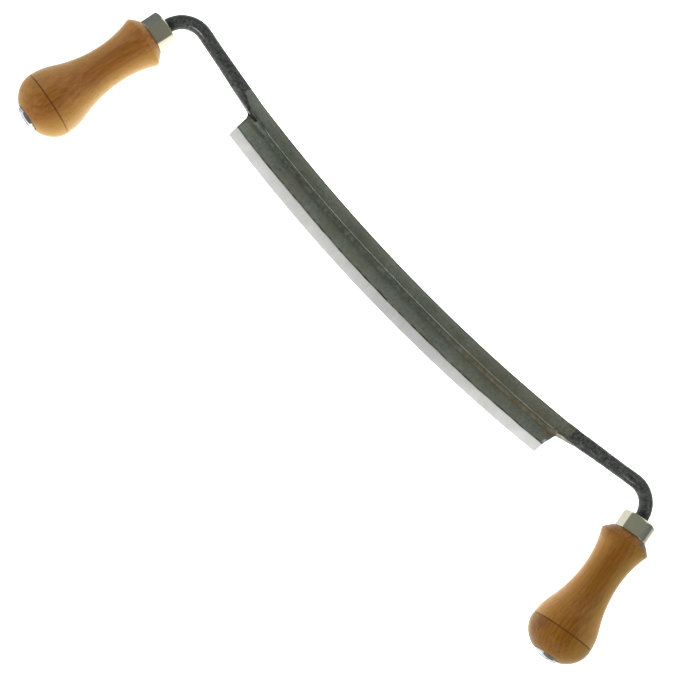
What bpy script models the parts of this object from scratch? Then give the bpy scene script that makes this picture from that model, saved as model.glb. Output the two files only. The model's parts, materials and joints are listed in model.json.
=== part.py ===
"""Bent drawknife: a bowed blade forged in one with its two tangs, and two turned wooden handles.

The tool is modelled with the flat back of its blade on the XY plane and is then laid down as it
rests on a bench, on the rims and bulbs of its handles. X runs from the left handle to the right
one, -Y points at the user, and +Z is the bevelled side. Sizes are in metres.
"""

import math

import bmesh
import bpy
from mathutils import Matrix, Vector

# Blade
CUT_LENGTH = 0.2515
BOW_RADIUS = 1.060
BEVEL_WIDTH = 0.0062
HOLLOW_WIDTH = 0.0117
SPINE_WIDTH = 0.0071
SPINE_HEIGHT = 0.0080
WEB_THICKNESS = 0.0035
EDGE_THICKNESS = 0.0003
COVE_WIDTH = 0.0030
COVE_BELOW_RIDGE = 0.0008
SPINE_ROUNDING = 0.0004
SHOULDER_FILLET = 0.0030

# Tangs: the length runs from the end of the blade to the corner that the bend rounds off
TANG_ROOT_WIDTH = 0.0090
TANG_LENGTH = 0.0668
TANG_RISE = math.radians(10.2)
TANG_ROOT_ROUNDING = 0.0008
TANG_ROOT_DEPTH = 0.0080
TANG_ROUND_AFTER = 0.045
ROD_DIAMETER = 0.0086
BEND_RADIUS = 0.0155
STUD_DIAMETER = 0.0080
STUD_CHAMFER = 0.0008
STUD_SHORT_OF_NUT = 0.0004

# Handles: lengths run from the rim towards the butt
HANDLE_SPLAY = math.radians(10.2)
RIM_DIAMETER = 0.0314
NECK_DIAMETER = 0.0233
BULB_DIAMETER = 0.0393
RIM_TO_NECK = 0.0220
NECK_TO_BULB = 0.0417
NECK_HOLLOW_SHARE = 0.67
BULB_TO_GROOVE = 0.0013
GROOVE_WIDTH = 0.0010
GROOVE_DEPTH = 0.0005
BUTT_ROUND_LENGTH = 0.0165
BUTT_LAND = 0.0010
FRONT_DOME_HEIGHT = 0.0052
FRONT_DOME_BULGE = 0.0002
SEAT_LAND = 0.0002

# Nuts and washers
COLLAR_ACROSS_FLATS = 0.0180
COLLAR_HEIGHT = 0.0108
COLLAR_FROM_BEND = 0.0002
LEFT_COLLAR_TURN = math.radians(31.0)
RIGHT_COLLAR_TURN = math.radians(38.0)
NUT_ACROSS_FLATS = 0.0130
NUT_HEIGHT = 0.0065
NUT_PROUD = 0.0021
LEFT_NUT_TURN = math.radians(5.0)
RIGHT_NUT_TURN = math.radians(22.0)
NUT_CHAMFER_CIRCLE = 0.95
NUT_CHAMFER_ANGLE = math.radians(30.0)
WASHER_DIAMETER = 0.0160
WASHER_THICKNESS = 0.0016

# Clearances
FIT_GAP = 0.0003
COUNTERBORE_CLEARANCE = 0.0005
CUT_OVERRUN = 0.002
MERGE_DISTANCE = 0.00001

# Facets
SMOOTH_ANGLE = math.radians(20.0)
BLADE_STEPS = 20
COVE_STEPS = 5
FILLET_STEPS = 5
ROOT_STEPS = 4
TANG_STEPS = 10
BEND_STEPS = 9
CORNER_STEPS = 6
HANDLE_SIDES = 36
NUT_SIDES = 36
DOME_STEPS = 4
NECK_STEPS = 7
BULB_STEPS = 10
BUTT_STEPS = 8

# Sizes that follow from those above
HALF_CUT = CUT_LENGTH / 2
BLADE_WIDTH = BEVEL_WIDTH + HOLLOW_WIDTH + SPINE_WIDTH
AXIS_HEIGHT = SPINE_HEIGHT / 2
ROD_RADIUS = ROD_DIAMETER / 2
STUD_RADIUS = STUD_DIAMETER / 2
BEND_TURN = math.pi / 2 + TANG_RISE - HANDLE_SPLAY
BEND_TANGENT = BEND_RADIUS * math.tan(BEND_TURN / 2)
COLLAR_CORNER_RADIUS = COLLAR_ACROSS_FLATS / 2 / math.cos(math.pi / 6)
COUNTERBORE_RADIUS = WASHER_DIAMETER / 2 + COUNTERBORE_CLEARANCE
COUNTERBORE_DEPTH = FIT_GAP + WASHER_THICKNESS + FIT_GAP + NUT_HEIGHT - NUT_PROUD
BUTT_RADIUS = COUNTERBORE_RADIUS + BUTT_LAND
BULB_RADIUS = BULB_DIAMETER / 2
BULB_TO_BUTT = BUTT_ROUND_LENGTH * math.sqrt(1 - (BUTT_RADIUS / BULB_RADIUS) ** 2)

# Places along a handle's axis, counted from the outer face of its collar
SEAT_AT = COLLAR_HEIGHT + FIT_GAP
RIM_AT = SEAT_AT + FRONT_DOME_HEIGHT
NECK_AT = RIM_AT + RIM_TO_NECK
BULB_AT = NECK_AT + NECK_TO_BULB
GROOVE_AT = BULB_AT - BULB_TO_GROOVE
BUTT_AT = BULB_AT + BULB_TO_BUTT
FLOOR_AT = BUTT_AT - COUNTERBORE_DEPTH
WASHER_AT = FLOOR_AT + FIT_GAP
NUT_AT = WASHER_AT + WASHER_THICKNESS + FIT_GAP
STUD_END_AT = NUT_AT + NUT_HEIGHT - STUD_SHORT_OF_NUT


def clear_scene():
    for old in list(bpy.data.objects):
        bpy.data.objects.remove(old, do_unlink=True)


def material(name, colour, roughness, metallic):
    made = bpy.data.materials.new(name)
    made.use_nodes = True
    shader = made.node_tree.nodes["Principled BSDF"]
    shader.inputs["Base Color"].default_value = (*colour, 1.0)
    shader.inputs["Roughness"].default_value = roughness
    shader.inputs["Metallic"].default_value = metallic
    return made


def finish_object(name, mesh_data, parent, finish=None):
    """Put a finished bmesh into the scene as a named object under its parent."""
    bmesh.ops.recalc_face_normals(mesh_data, faces=mesh_data.faces)
    mesh = bpy.data.meshes.new(name)
    mesh_data.to_mesh(mesh)
    mesh_data.free()
    mesh.shade_smooth()
    mesh.set_sharp_from_angle(angle=SMOOTH_ANGLE)
    if finish:
        mesh.materials.append(finish)
    made = bpy.data.objects.new(name, mesh)
    bpy.context.scene.collection.objects.link(made)
    made.parent = parent
    return made


def make_helper(made):
    """Hide a shape that only cuts or joins another one."""
    made.hide_render = True
    made.display_type = "WIRE"
    return made


def add_boolean(made, operation, helper):
    modifier = made.modifiers.new(helper.name, "BOOLEAN")
    modifier.operation = operation
    modifier.solver = "EXACT"
    modifier.object = helper


def loft(rings, closed=False):
    """Skin a row of rings with equal point counts; the row ends in flat caps or joins up."""
    skin = bmesh.new()
    rows = [[skin.verts.new(point) for point in ring] for ring in rings]
    pairs = list(zip(rows, rows[1:]))
    if closed:
        pairs.append((rows[-1], rows[0]))
    else:
        skin.faces.new(rows[0])
        skin.faces.new(rows[-1])
    for first, second in pairs:
        for index in range(len(first)):
            follow = (index + 1) % len(first)
            skin.faces.new((first[index], first[follow], second[follow], second[index]))
    return skin


def turned(profile, sides):
    """Turn a closed profile of (radius, height) points about the local Z axis."""
    rings = []
    for radius, height in profile:
        angles = [math.tau * side / sides for side in range(sides)]
        rings.append([(radius * math.cos(a), radius * math.sin(a), height) for a in angles])
    return loft(rings, closed=True)


def bow(x):
    """How far the bow carries the blade away from the user at a place along its chord."""
    return BOW_RADIUS - math.sqrt(BOW_RADIUS ** 2 - x ** 2)


def back_of_spine(x):
    return bow(x) + BLADE_WIDTH


def web_section():
    """Outline of bevel, hollow and cove, run on into the spine, as (distance from edge, height)."""
    ridge = BEVEL_WIDTH + HOLLOW_WIDTH
    cove_rise = SPINE_HEIGHT - COVE_BELOW_RIDGE - WEB_THICKNESS
    outline = [(0.0, 0.0), (0.0, EDGE_THICKNESS), (BEVEL_WIDTH, WEB_THICKNESS)]
    for step in range(COVE_STEPS + 1):
        turn = math.pi / 2 * step / COVE_STEPS
        across = ridge - COVE_WIDTH * (1 - math.sin(turn))
        outline.append((across, WEB_THICKNESS + cove_rise * (1 - math.cos(turn))))
    outline.append((ridge + SPINE_WIDTH / 2, WEB_THICKNESS))
    outline.append((ridge + SPINE_WIDTH / 2, 0.0))
    return outline


def blade_stations():
    """Places along the right half of the chord, from a little past the middle to the end cut."""
    length = HALF_CUT + CUT_OVERRUN
    return [length * step / BLADE_STEPS - CUT_OVERRUN for step in range(BLADE_STEPS + 1)]


def half_web():
    """Right half of the thin part of the blade, later joined to the spine and mirrored."""
    section = web_section()
    return loft([[(x, bow(x) + across, height) for across, height in section] for x in blade_stations()])


def root_centre():
    """Middle of the right tang where it leaves the end of the blade, flush with the spine's back."""
    return Vector((HALF_CUT, back_of_spine(HALF_CUT) - TANG_ROOT_WIDTH / 2, AXIS_HEIGHT))


def tang_heading():
    return Vector((math.cos(TANG_RISE), math.sin(TANG_RISE), 0.0))


def handle_heading(side):
    """Direction from collar to butt; side is 1 for the right handle and -1 for the left one."""
    return Vector((side * math.sin(HANDLE_SPLAY), -math.cos(HANDLE_SPLAY), 0.0))


def collar_centre(side):
    """Middle of the outer face of a collar, just past the end of the bend."""
    corner = root_centre() + tang_heading() * TANG_LENGTH
    centre = corner + handle_heading(1) * (BEND_TANGENT + COLLAR_FROM_BEND)
    return Vector((side * centre.x, centre.y, centre.z))


def bar_ring(centre, heading, half_width, half_height, rounding):
    """Rounded-rectangle ring across a heading that lies in the plane of the blade."""
    across = Vector((heading.y, -heading.x, 0.0))
    corner_step = math.pi / 2 / CORNER_STEPS
    reach = rounding / math.cos(corner_step / 2)
    ring = []
    for step in range(4 * CORNER_STEPS):
        turn = (step + 0.5) * corner_step
        right = math.copysign(half_width - rounding, math.cos(turn)) + reach * math.cos(turn)
        up = math.copysign(half_height - rounding, math.sin(turn)) + reach * math.sin(turn)
        ring.append(centre + across * right + Vector((0.0, 0.0, up)))
    return ring


def rod_ring(centre, heading, radius):
    return bar_ring(centre, heading, radius, radius, radius)


def blend(start, end, share):
    """Ease from one value to another without a kink at either end."""
    eased = share * share * (3 - 2 * share)
    return start + (end - start) * eased


def tang_line():
    """Centre, heading and length so far at each step from the blade to the end of the bend."""
    heading = tang_heading()
    straight = TANG_LENGTH - BEND_TANGENT
    line = []
    for step in range(TANG_STEPS + 1):
        along = straight * step / TANG_STEPS
        line.append((root_centre() + heading * along, heading, along))
    start = root_centre() + heading * straight
    bend_centre = start + Vector((heading.y, -heading.x, 0.0)) * BEND_RADIUS
    for step in range(1, BEND_STEPS + 1):
        turn = BEND_TURN * step / BEND_STEPS
        swing = Matrix.Rotation(-turn, 3, "Z")
        place = bend_centre + swing @ (start - bend_centre)
        line.append((place, swing @ heading, straight + BEND_RADIUS * turn))
    return line


def spine_rings():
    """Rings of the spine, which swells into the root of the tang over the last of its length."""
    along_chord = Vector((1.0, 0.0, 0.0))
    swell_start = HALF_CUT - TANG_ROOT_DEPTH
    stations = [(x, 0.0) for x in blade_stations() if x < swell_start]
    for step in range(ROOT_STEPS):
        share = step / ROOT_STEPS
        stations.append((swell_start + TANG_ROOT_DEPTH * share, share))
    rings = []
    for x, share in stations:
        half_width = blend(SPINE_WIDTH, TANG_ROOT_WIDTH, share) / 2
        rounding = blend(SPINE_ROUNDING, TANG_ROOT_ROUNDING, share)
        centre = Vector((x, back_of_spine(x) - half_width, AXIS_HEIGHT))
        heading = along_chord.lerp(tang_heading(), share).normalized()
        rings.append(bar_ring(centre, heading, half_width, SPINE_HEIGHT / 2, rounding))
    return rings


def tang_rings():
    """Rings of the tang, from the end of the blade round the bend to the end of the stud."""
    rings = []
    for centre, heading, along in tang_line():
        share = min(1.0, along / TANG_ROUND_AFTER)
        half_width = blend(TANG_ROOT_WIDTH / 2, ROD_RADIUS, share)
        half_height = blend(SPINE_HEIGHT / 2, ROD_RADIUS, share)
        rounding = blend(TANG_ROOT_ROUNDING, min(half_width, half_height), share)
        rings.append(bar_ring(centre, heading, half_width, half_height, rounding))
    heading = handle_heading(1)
    collar = collar_centre(1)
    rod_end = collar + heading * COLLAR_HEIGHT
    stud_end = collar + heading * STUD_END_AT
    rings.append(rod_ring(rod_end, heading, ROD_RADIUS))
    rings.append(rod_ring(rod_end, heading, STUD_RADIUS))
    rings.append(rod_ring(stud_end - heading * STUD_CHAMFER, heading, STUD_RADIUS))
    rings.append(rod_ring(stud_end, heading, STUD_RADIUS - STUD_CHAMFER))
    return rings


def shoulder():
    """Web that fills the inner corner between the end of the blade and the right tang."""
    radius = SHOULDER_FILLET
    tang_inside = root_centre().y - TANG_ROOT_WIDTH / 2
    low = tang_inside + radius * math.tan(TANG_RISE) - radius / math.cos(TANG_RISE)
    high = root_centre().y
    outline = [(HALF_CUT - radius, high), (HALF_CUT - radius, low)]
    for step in range(FILLET_STEPS + 1):
        turn = (math.pi / 2 - TANG_RISE) * step / FILLET_STEPS
        outline.append((HALF_CUT + radius * (1 - math.cos(turn)), low + radius * math.sin(turn)))
    outline.append((outline[-1][0], high))
    return loft([[(x, y, height) for x, y in outline] for height in (0.0, WEB_THICKNESS)])


def make_blade(tool, finish):
    blade = finish_object("blade", loft(spine_rings() + tang_rings()), tool, finish)
    for name, shape in (("right_web", half_web()), ("right_shoulder", shoulder())):
        add_boolean(blade, "UNION", make_helper(finish_object(name, shape, tool)))
    mirror = blade.modifiers.new("left_half", "MIRROR")
    mirror.use_axis = (True, False, False)
    mirror.use_bisect_axis = (True, False, False)
    mirror.merge_threshold = MERGE_DISTANCE


def handle_profile():
    """Closed outline of a handle as (radius, place along its axis) points."""
    rim = RIM_DIAMETER / 2
    neck = NECK_DIAMETER / 2
    bore = STUD_RADIUS + FIT_GAP
    seat = COLLAR_CORNER_RADIUS + SEAT_LAND
    profile = [(bore, SEAT_AT)]
    slope = math.hypot(rim - seat, FRONT_DOME_HEIGHT)
    for step in range(DOME_STEPS):
        share = step / DOME_STEPS
        swell = FRONT_DOME_BULGE * 4 * share * (1 - share) / slope
        radius = seat + (rim - seat) * share + swell * FRONT_DOME_HEIGHT
        profile.append((radius, SEAT_AT + FRONT_DOME_HEIGHT * share - swell * (rim - seat)))
    for step in range(NECK_STEPS):
        back = RIM_TO_NECK * (1 - step / NECK_STEPS)
        arc = arc_radius(RIM_TO_NECK, rim - neck)
        profile.append((neck + arc_rise(arc, back), NECK_AT - back))
    notch = GROOVE_WIDTH / 2
    hollow_to_groove = NECK_TO_BULB - BULB_TO_GROOVE - notch
    for step in range(BULB_STEPS + 1):
        along = hollow_to_groove * step / BULB_STEPS
        profile.append((swell_radius(along), NECK_AT + along))
    profile.append((swell_radius(NECK_TO_BULB - BULB_TO_GROOVE) - GROOVE_DEPTH, GROOVE_AT))
    profile.append((swell_radius(hollow_to_groove + GROOVE_WIDTH), GROOVE_AT + notch))
    for step in range(BUTT_STEPS + 1):
        turn = math.acos(BUTT_RADIUS / BULB_RADIUS) * step / BUTT_STEPS
        profile.append((BULB_RADIUS * math.cos(turn), BULB_AT + BUTT_ROUND_LENGTH * math.sin(turn)))
    profile.append((COUNTERBORE_RADIUS, BUTT_AT))
    profile.append((COUNTERBORE_RADIUS, FLOOR_AT))
    profile.append((bore, FLOOR_AT))
    return profile


def arc_radius(run, rise):
    """Radius of an arc that leaves level and climbs a rise over a run."""
    return (run * run + rise * rise) / (2 * rise)


def arc_rise(radius, run):
    """Climb of a level-starting arc after a run."""
    return radius - math.sqrt(radius * radius - run * run)


def swell_radius(along):
    """Handle radius past the neck: a hollow arc that flows into the round of the bulb."""
    rise = (BULB_DIAMETER - NECK_DIAMETER) / 2
    both_arcs = arc_radius(NECK_TO_BULB, rise)
    if along < NECK_TO_BULB * NECK_HOLLOW_SHARE:
        return NECK_DIAMETER / 2 + arc_rise(both_arcs * NECK_HOLLOW_SHARE, along)
    return BULB_RADIUS - arc_rise(both_arcs * (1 - NECK_HOLLOW_SHARE), NECK_TO_BULB - along)


def make_nut(name, axis, place, turn, flats, height, bore, second_chamfer, finish):
    """Hexagon nut: a hexagonal bar trimmed by a turned blank with a bore and one or two chamfered ends."""
    corner = flats / 2 / math.cos(math.pi / 6)
    bar = bmesh.new()
    bmesh.ops.create_cone(bar, cap_ends=True, segments=6, radius1=corner, radius2=corner,
                          depth=height + 2 * CUT_OVERRUN)
    bmesh.ops.rotate(bar, verts=bar.verts, matrix=Matrix.Rotation(turn, 3, "Z"))
    bmesh.ops.translate(bar, verts=bar.verts, vec=(0.0, 0.0, height / 2))
    nut = finish_object(name, bar, axis, finish)
    nut.location.z = place
    face = flats / 2 * NUT_CHAMFER_CIRCLE
    outside = corner + CUT_OVERRUN
    slant = (outside - face) * math.tan(NUT_CHAMFER_ANGLE)
    blank = [(bore, 0.0), (face, 0.0), (outside, slant)]
    if second_chamfer:
        blank += [(radius, height - level) for radius, level in reversed(blank)]
    else:
        blank += [(outside, height), (bore, height)]
    helper = make_helper(finish_object(name + "_blank", turned(blank, NUT_SIDES), axis))
    helper.location.z = place
    add_boolean(nut, "INTERSECT", helper)


def make_washer(name, axis, finish):
    bore = STUD_RADIUS + FIT_GAP
    outside = WASHER_DIAMETER / 2
    ring = [(bore, 0.0), (outside, 0.0), (outside, WASHER_THICKNESS), (bore, WASHER_THICKNESS)]
    washer = finish_object(name, turned(ring, NUT_SIDES), axis, finish)
    washer.location.z = WASHER_AT


def make_handle_set(side, name, collar_turn, nut_turn, tool, finishes):
    """Collar, handle, washer and nut, threaded in that order on one tang."""
    axis = bpy.data.objects.new(name + "_axis", None)
    bpy.context.scene.collection.objects.link(axis)
    axis.parent = tool
    along = handle_heading(side)
    up = Vector((0.0, 0.0, 1.0))
    axis.location = collar_centre(side)
    axis.rotation_euler = Matrix((up.cross(along), up, along)).transposed().to_euler()
    make_nut(name + "_collar_nut", axis, 0.0, collar_turn, COLLAR_ACROSS_FLATS, COLLAR_HEIGHT,
             ROD_RADIUS + FIT_GAP, False, finishes["collar"])
    finish_object(name + "_handle", turned(handle_profile(), HANDLE_SIDES), axis, finishes["wood"])
    make_washer(name + "_washer", axis, finishes["zinc"])
    make_nut(name + "_end_nut", axis, NUT_AT, nut_turn, NUT_ACROSS_FLATS, NUT_HEIGHT,
             STUD_RADIUS + FIT_GAP, True, finishes["zinc"])


def lie_angle():
    """Tilt of the tool when each handle lies on its rim and on the round of its bulb."""
    rim = RIM_DIAMETER / 2
    behind = [(radius, place) for radius, place in handle_profile() if place > NECK_AT]
    slope = max((radius - rim) / (place - RIM_AT) for radius, place in behind)
    return math.asin(math.sin(math.atan(slope)) / math.cos(HANDLE_SPLAY))


def world_corners(scene):
    """Lowest and highest corner of all the pieces as they stand."""
    graph = bpy.context.evaluated_depsgraph_get()
    points = []
    for made in scene.objects:
        if made.type == "MESH" and not made.hide_render:
            evaluated = made.evaluated_get(graph)
            points.extend(evaluated.matrix_world @ vert.co for vert in evaluated.data.vertices)
    low = Vector(min(point[axis] for point in points) for axis in range(3))
    high = Vector(max(point[axis] for point in points) for axis in range(3))
    return low, high


def main():
    clear_scene()
    finishes = {
        "steel": material("ground_tool_steel", (0.17, 0.18, 0.16), 0.42, 0.9),
        "collar": material("dull_plated_steel", (0.33, 0.33, 0.27), 0.45, 0.9),
        "wood": material("oiled_wood", (0.42, 0.20, 0.07), 0.50, 0.0),
        "zinc": material("bright_zinc", (0.66, 0.69, 0.72), 0.28, 1.0),
    }
    tool = bpy.data.objects.new("tool", None)
    bpy.context.scene.collection.objects.link(tool)
    make_blade(tool, finishes["steel"])
    make_handle_set(-1, "left", LEFT_COLLAR_TURN, LEFT_NUT_TURN, tool, finishes)
    make_handle_set(1, "right", RIGHT_COLLAR_TURN, RIGHT_NUT_TURN, tool, finishes)
    tool.rotation_euler.x = -lie_angle()
    low, high = world_corners(bpy.context.scene)
    tool.location = (-(low.x + high.x) / 2, -(low.y + high.y) / 2, -low.z)
    bpy.context.view_layer.update()


main()
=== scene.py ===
"""Finished pieces of a bent drawknife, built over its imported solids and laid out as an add-on.

The tool frame has the flat back of the blade on its XY plane, X from the left handle to the right
one, -Y towards the user and +Z out of the bevelled side. Each handle has a frame of its own, with Z
from the outer face of the collar to the butt and Y up out of the tool. Sizes are in metres.
"""

import json
import math

import bmesh
import bpy
import numpy as np
from bpy.props import FloatProperty, FloatVectorProperty, PointerProperty
from mathutils import Matrix, Vector, noise


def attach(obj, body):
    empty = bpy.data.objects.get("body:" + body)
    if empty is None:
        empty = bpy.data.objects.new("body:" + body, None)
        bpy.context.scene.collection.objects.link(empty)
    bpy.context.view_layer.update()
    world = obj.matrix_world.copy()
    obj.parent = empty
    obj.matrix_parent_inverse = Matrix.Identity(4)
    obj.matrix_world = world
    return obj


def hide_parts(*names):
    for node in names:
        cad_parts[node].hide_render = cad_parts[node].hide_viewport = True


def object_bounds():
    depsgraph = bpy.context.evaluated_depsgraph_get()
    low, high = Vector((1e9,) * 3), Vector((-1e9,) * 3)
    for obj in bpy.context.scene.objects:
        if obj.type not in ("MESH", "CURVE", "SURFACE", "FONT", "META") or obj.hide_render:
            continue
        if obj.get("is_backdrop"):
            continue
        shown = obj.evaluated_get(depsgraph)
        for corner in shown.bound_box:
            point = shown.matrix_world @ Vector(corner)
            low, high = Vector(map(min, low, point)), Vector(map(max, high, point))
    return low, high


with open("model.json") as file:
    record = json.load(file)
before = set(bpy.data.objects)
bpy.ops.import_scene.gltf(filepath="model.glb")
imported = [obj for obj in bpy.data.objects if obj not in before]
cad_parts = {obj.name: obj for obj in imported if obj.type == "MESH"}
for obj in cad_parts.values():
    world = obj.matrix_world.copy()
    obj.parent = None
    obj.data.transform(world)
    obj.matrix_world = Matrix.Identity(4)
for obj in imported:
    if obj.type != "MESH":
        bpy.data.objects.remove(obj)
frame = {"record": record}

bl_info = {
    "name": "Bent drawknife",
    "version": (1, 0, 0),
    "blender": (4, 5, 0),
    "location": "3D View > Sidebar > Drawknife",
    "description": "Builds the finished pieces of a bent drawknife over its packed solids",
    "category": "Add Mesh",
}

CAD_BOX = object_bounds()
SIDES = (("left", -1), ("right", 1))

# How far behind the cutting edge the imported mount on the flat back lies
MOUNT_FROM_EDGE = 0.012

# Each stretch of the outline round the blade, clockwise from the ridge: how many points it has, and
# the angle in degrees at which it starts where the bar has become a round rod
STRETCHES = (
    ("top", 9, 112.0),
    ("back_upper", 5, 68.0),
    ("back", 6, 22.0),
    ("back_lower", 5, -22.0),
    ("under", 12, -68.0),
    ("edge", 4, -112.0),
    ("bevel", 8, -127.0),
    ("lip", 3, -150.0),
    ("floor", 16, -155.0),
    ("cove", 12, -180.0),
    ("ridge", 7, -202.0),
)
POINTS_IN = {name: count for name, count, start in STRETCHES}
STRETCH_OF_POINT = np.repeat([name for name, count, start in STRETCHES], list(POINTS_IN.values()))
INNER_SIDE = ("bevel", "lip", "floor", "cove")

STEEL, BEVEL, STUD = range(3)
GRIP, FRONT = range(2)

# How finely the pieces are drawn
BLADE_STEP = 0.001
TANG_STEP = 0.0007
FIRST_TANG_STEP = 0.0016
THREAD_STEP = 0.000125
HANDLE_SIDES = 144
DOME_POINTS = 14
RIM_POINTS = 9
NECK_POINTS = 26
SWELL_POINTS = 44
BUTT_POINTS = 24
GROOVE_POINTS = 13
FLAT_POINTS = 12
CORNER_POINTS = 6
CURVE_POINTS = 12
FLOOR_POINTS = 41
SMOOTH_ANGLE = math.radians(24.0)

# Hand work: how far the shape of the end cuts reaches in, the lengths over which ground lines wander
# and hammer marks repeat, and how flat the hammered corner is
END_SHAPE_LENGTH = 0.012
WAVER_SEED = 3.0
LONG_WAVER = 0.045
SHORT_WAVER = 0.008
FORGED_FLATNESS = 0.7
BROAD_MARKS = 0.006
FINE_MARKS = 0.0022
MARKS_FADE = 0.004

# Wear of the steel and the painted light and shade on it: places along the blade, lengths, shares of a
# tang's width, angles round a tang and strengths
GROUND_ALL_OVER = 0.010
GROUND_BORDER = 0.0022
GROUND_BLUR = 0.0005
BRIGHT_LEFT_END = (-0.105, -0.125)
RUST_ALONG = (0.02, 0.08)
WARM_SHIFT = (0.0, 0.4, 0.0)
DULL_BEVEL_AT = 0.025
DULL_BEVEL_REACH = 0.09
# Painted shade along the top of the bevel
SHADE_LINE_MIDDLE = 0.92
SHADE_LINE_SLOPE = 0.06
LEFT_CRACK_LENGTH = 0.0065
CRACK_FADE = 0.002
END_CHIPS = {"left": 0.35, "right": 0.95}
CHIP_LENGTH = 0.0020
# Painted highlight along the ridge
RIDGE_HIGHLIGHT = 0.45
# Painted shade in the inner corner of each shoulder
SHOULDER_SHADE = {"left": 1.2, "right": 0.5}
TONGUE_TARNISH = {"left": 0.1, "right": 0.65}
TONGUE_FRONT = -0.39
TONGUE_BACK = 0.06
# Painted highlight on each bend: a bright, smoother patch that stands in for its specular streak
GLINT_ANGLE = math.radians(121.0)
GLINT_SPREAD = math.radians(7.5)
# Painted shade on the rods: a painted shadow next to each collar and darker flanks
COLLAR_SHADOW_LENGTH = 0.009
FLANK_SHADE_FADE = 0.01
OUTER_FLANK_SHADE = 0.85
INNER_FLANK_SHADE = {"left": 0.42, "right": 0.52}

# Painted shade and highlight on the collars: how bright their facets are painted at places across each,
# given as shares of its width from the side that faces out to the one that faces the blade
PAINTED_LIGHT_PLACES = (-0.56, -0.42, 0.22, 0.55)
COLLAR_PAINTED_LIGHT = {"left": (0.0, 0.0, 0.10, 0.95), "right": (1.0, 0.0, 0.26, 0.34)}
NO_PAINTED_LIGHT = (0.0, 0.0, 0.0, 0.0)

# Wood: where the pith of each blank lay, across the handle, the width of its rings, and how strong its
# oil, darker end grain, painted highlight on the flanks and painted shade on the front dome are, in pairs
# for the inner and the outer side where these differ
PITHS = {"left": (0.052, -0.046), "right": (-0.064, -0.036)}
RING_WIDTHS = {"left": 0.0030, "right": 0.0026}
RING_SWAY = (0.005, 0.005, 0.0)
WOOD_SHINE = {"left": 0.35, "right": 0.25}
SHEEN_TINT = (1.0, 0.86, 0.42, 1.0)
GRIP_SHEEN = 0.4
FRONT_SHEEN = {"left": 0.4, "right": 0.0}
# Painted highlight on the flanks, on the inner and the outer side
FLANK_HIGHLIGHT_SHARE = {"left": (0.9, 0.35), "right": (0.15, 0.55)}
END_GRAIN = {"left": 0.0, "right": 0.9}
HANDLED_LENGTH = 0.012
HANDLED_SHARE = 0.85
# Painted shadow next to the collar, and painted shade on the front dome, inner and outer side
COLLAR_GAP_SHADOW = 0.92
DOME_SHADE = {"left": (0.0, 0.1), "right": (0.3, 0.95)}
WIRE_FADE = {"left": 0.4, "right": 0.1}
WIRE_REACH = 1.2
WIRE_BURN = 0.9

# Studio: the floor and the pool of light in it, the sky, the soft lights and the camera's reach
FLOOR_REACH = 6.0
FLOOR_FLAT = 0.7
FLOOR_GAP = 0.0003
FLOOR_WEAR = 0.985
POOL_RADII = (0.15, 0.27)
POOL_MIDDLE = (1.0, 1.0, 1.0)
POOL_EDGE = (0.18, 0.18, 0.18)
SKY_SLOPE = (0.55, 0.92)
SKY_TONE = (1.0, 1.0, 1.0, 1.0)
KEY_SIZE = 0.8
KEY_ASIDE, KEY_BACK, KEY_UP = 0.75, -1.2, 1.15
CAMERA_REACH = 50.0


def amount(name, description, default, unit="NONE"):
    return FloatProperty(name=name, description=description, default=default, unit=unit)


def metres(name, description, default):
    return FloatProperty(name=name, description=description, default=default, unit="LENGTH", precision=5)


def degrees(name, description, default):
    return FloatProperty(name=name, description=description, default=math.radians(default), subtype="ANGLE")


def factor(name, description, default):
    return FloatProperty(name=name, description=description, default=default, subtype="FACTOR",
                         min=0.0, max=1.0)


def metres_each(name, description, left, right):
    """A length that the left and the right half have each of their own."""
    return FloatVectorProperty(name=name, description=description, default=(left, right), size=2,
                               unit="LENGTH", precision=5)


def degrees_each(name, description, left, right):
    """An angle that the left and the right half have each of their own."""
    return FloatVectorProperty(name=name, description=description, size=2, unit="ROTATION",
                               default=(math.radians(left), math.radians(right)))


def colour(name, description, default):
    return FloatVectorProperty(name=name, description=description, default=default, subtype="COLOR",
                               size=3, min=0.0, max=1.0)


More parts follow.
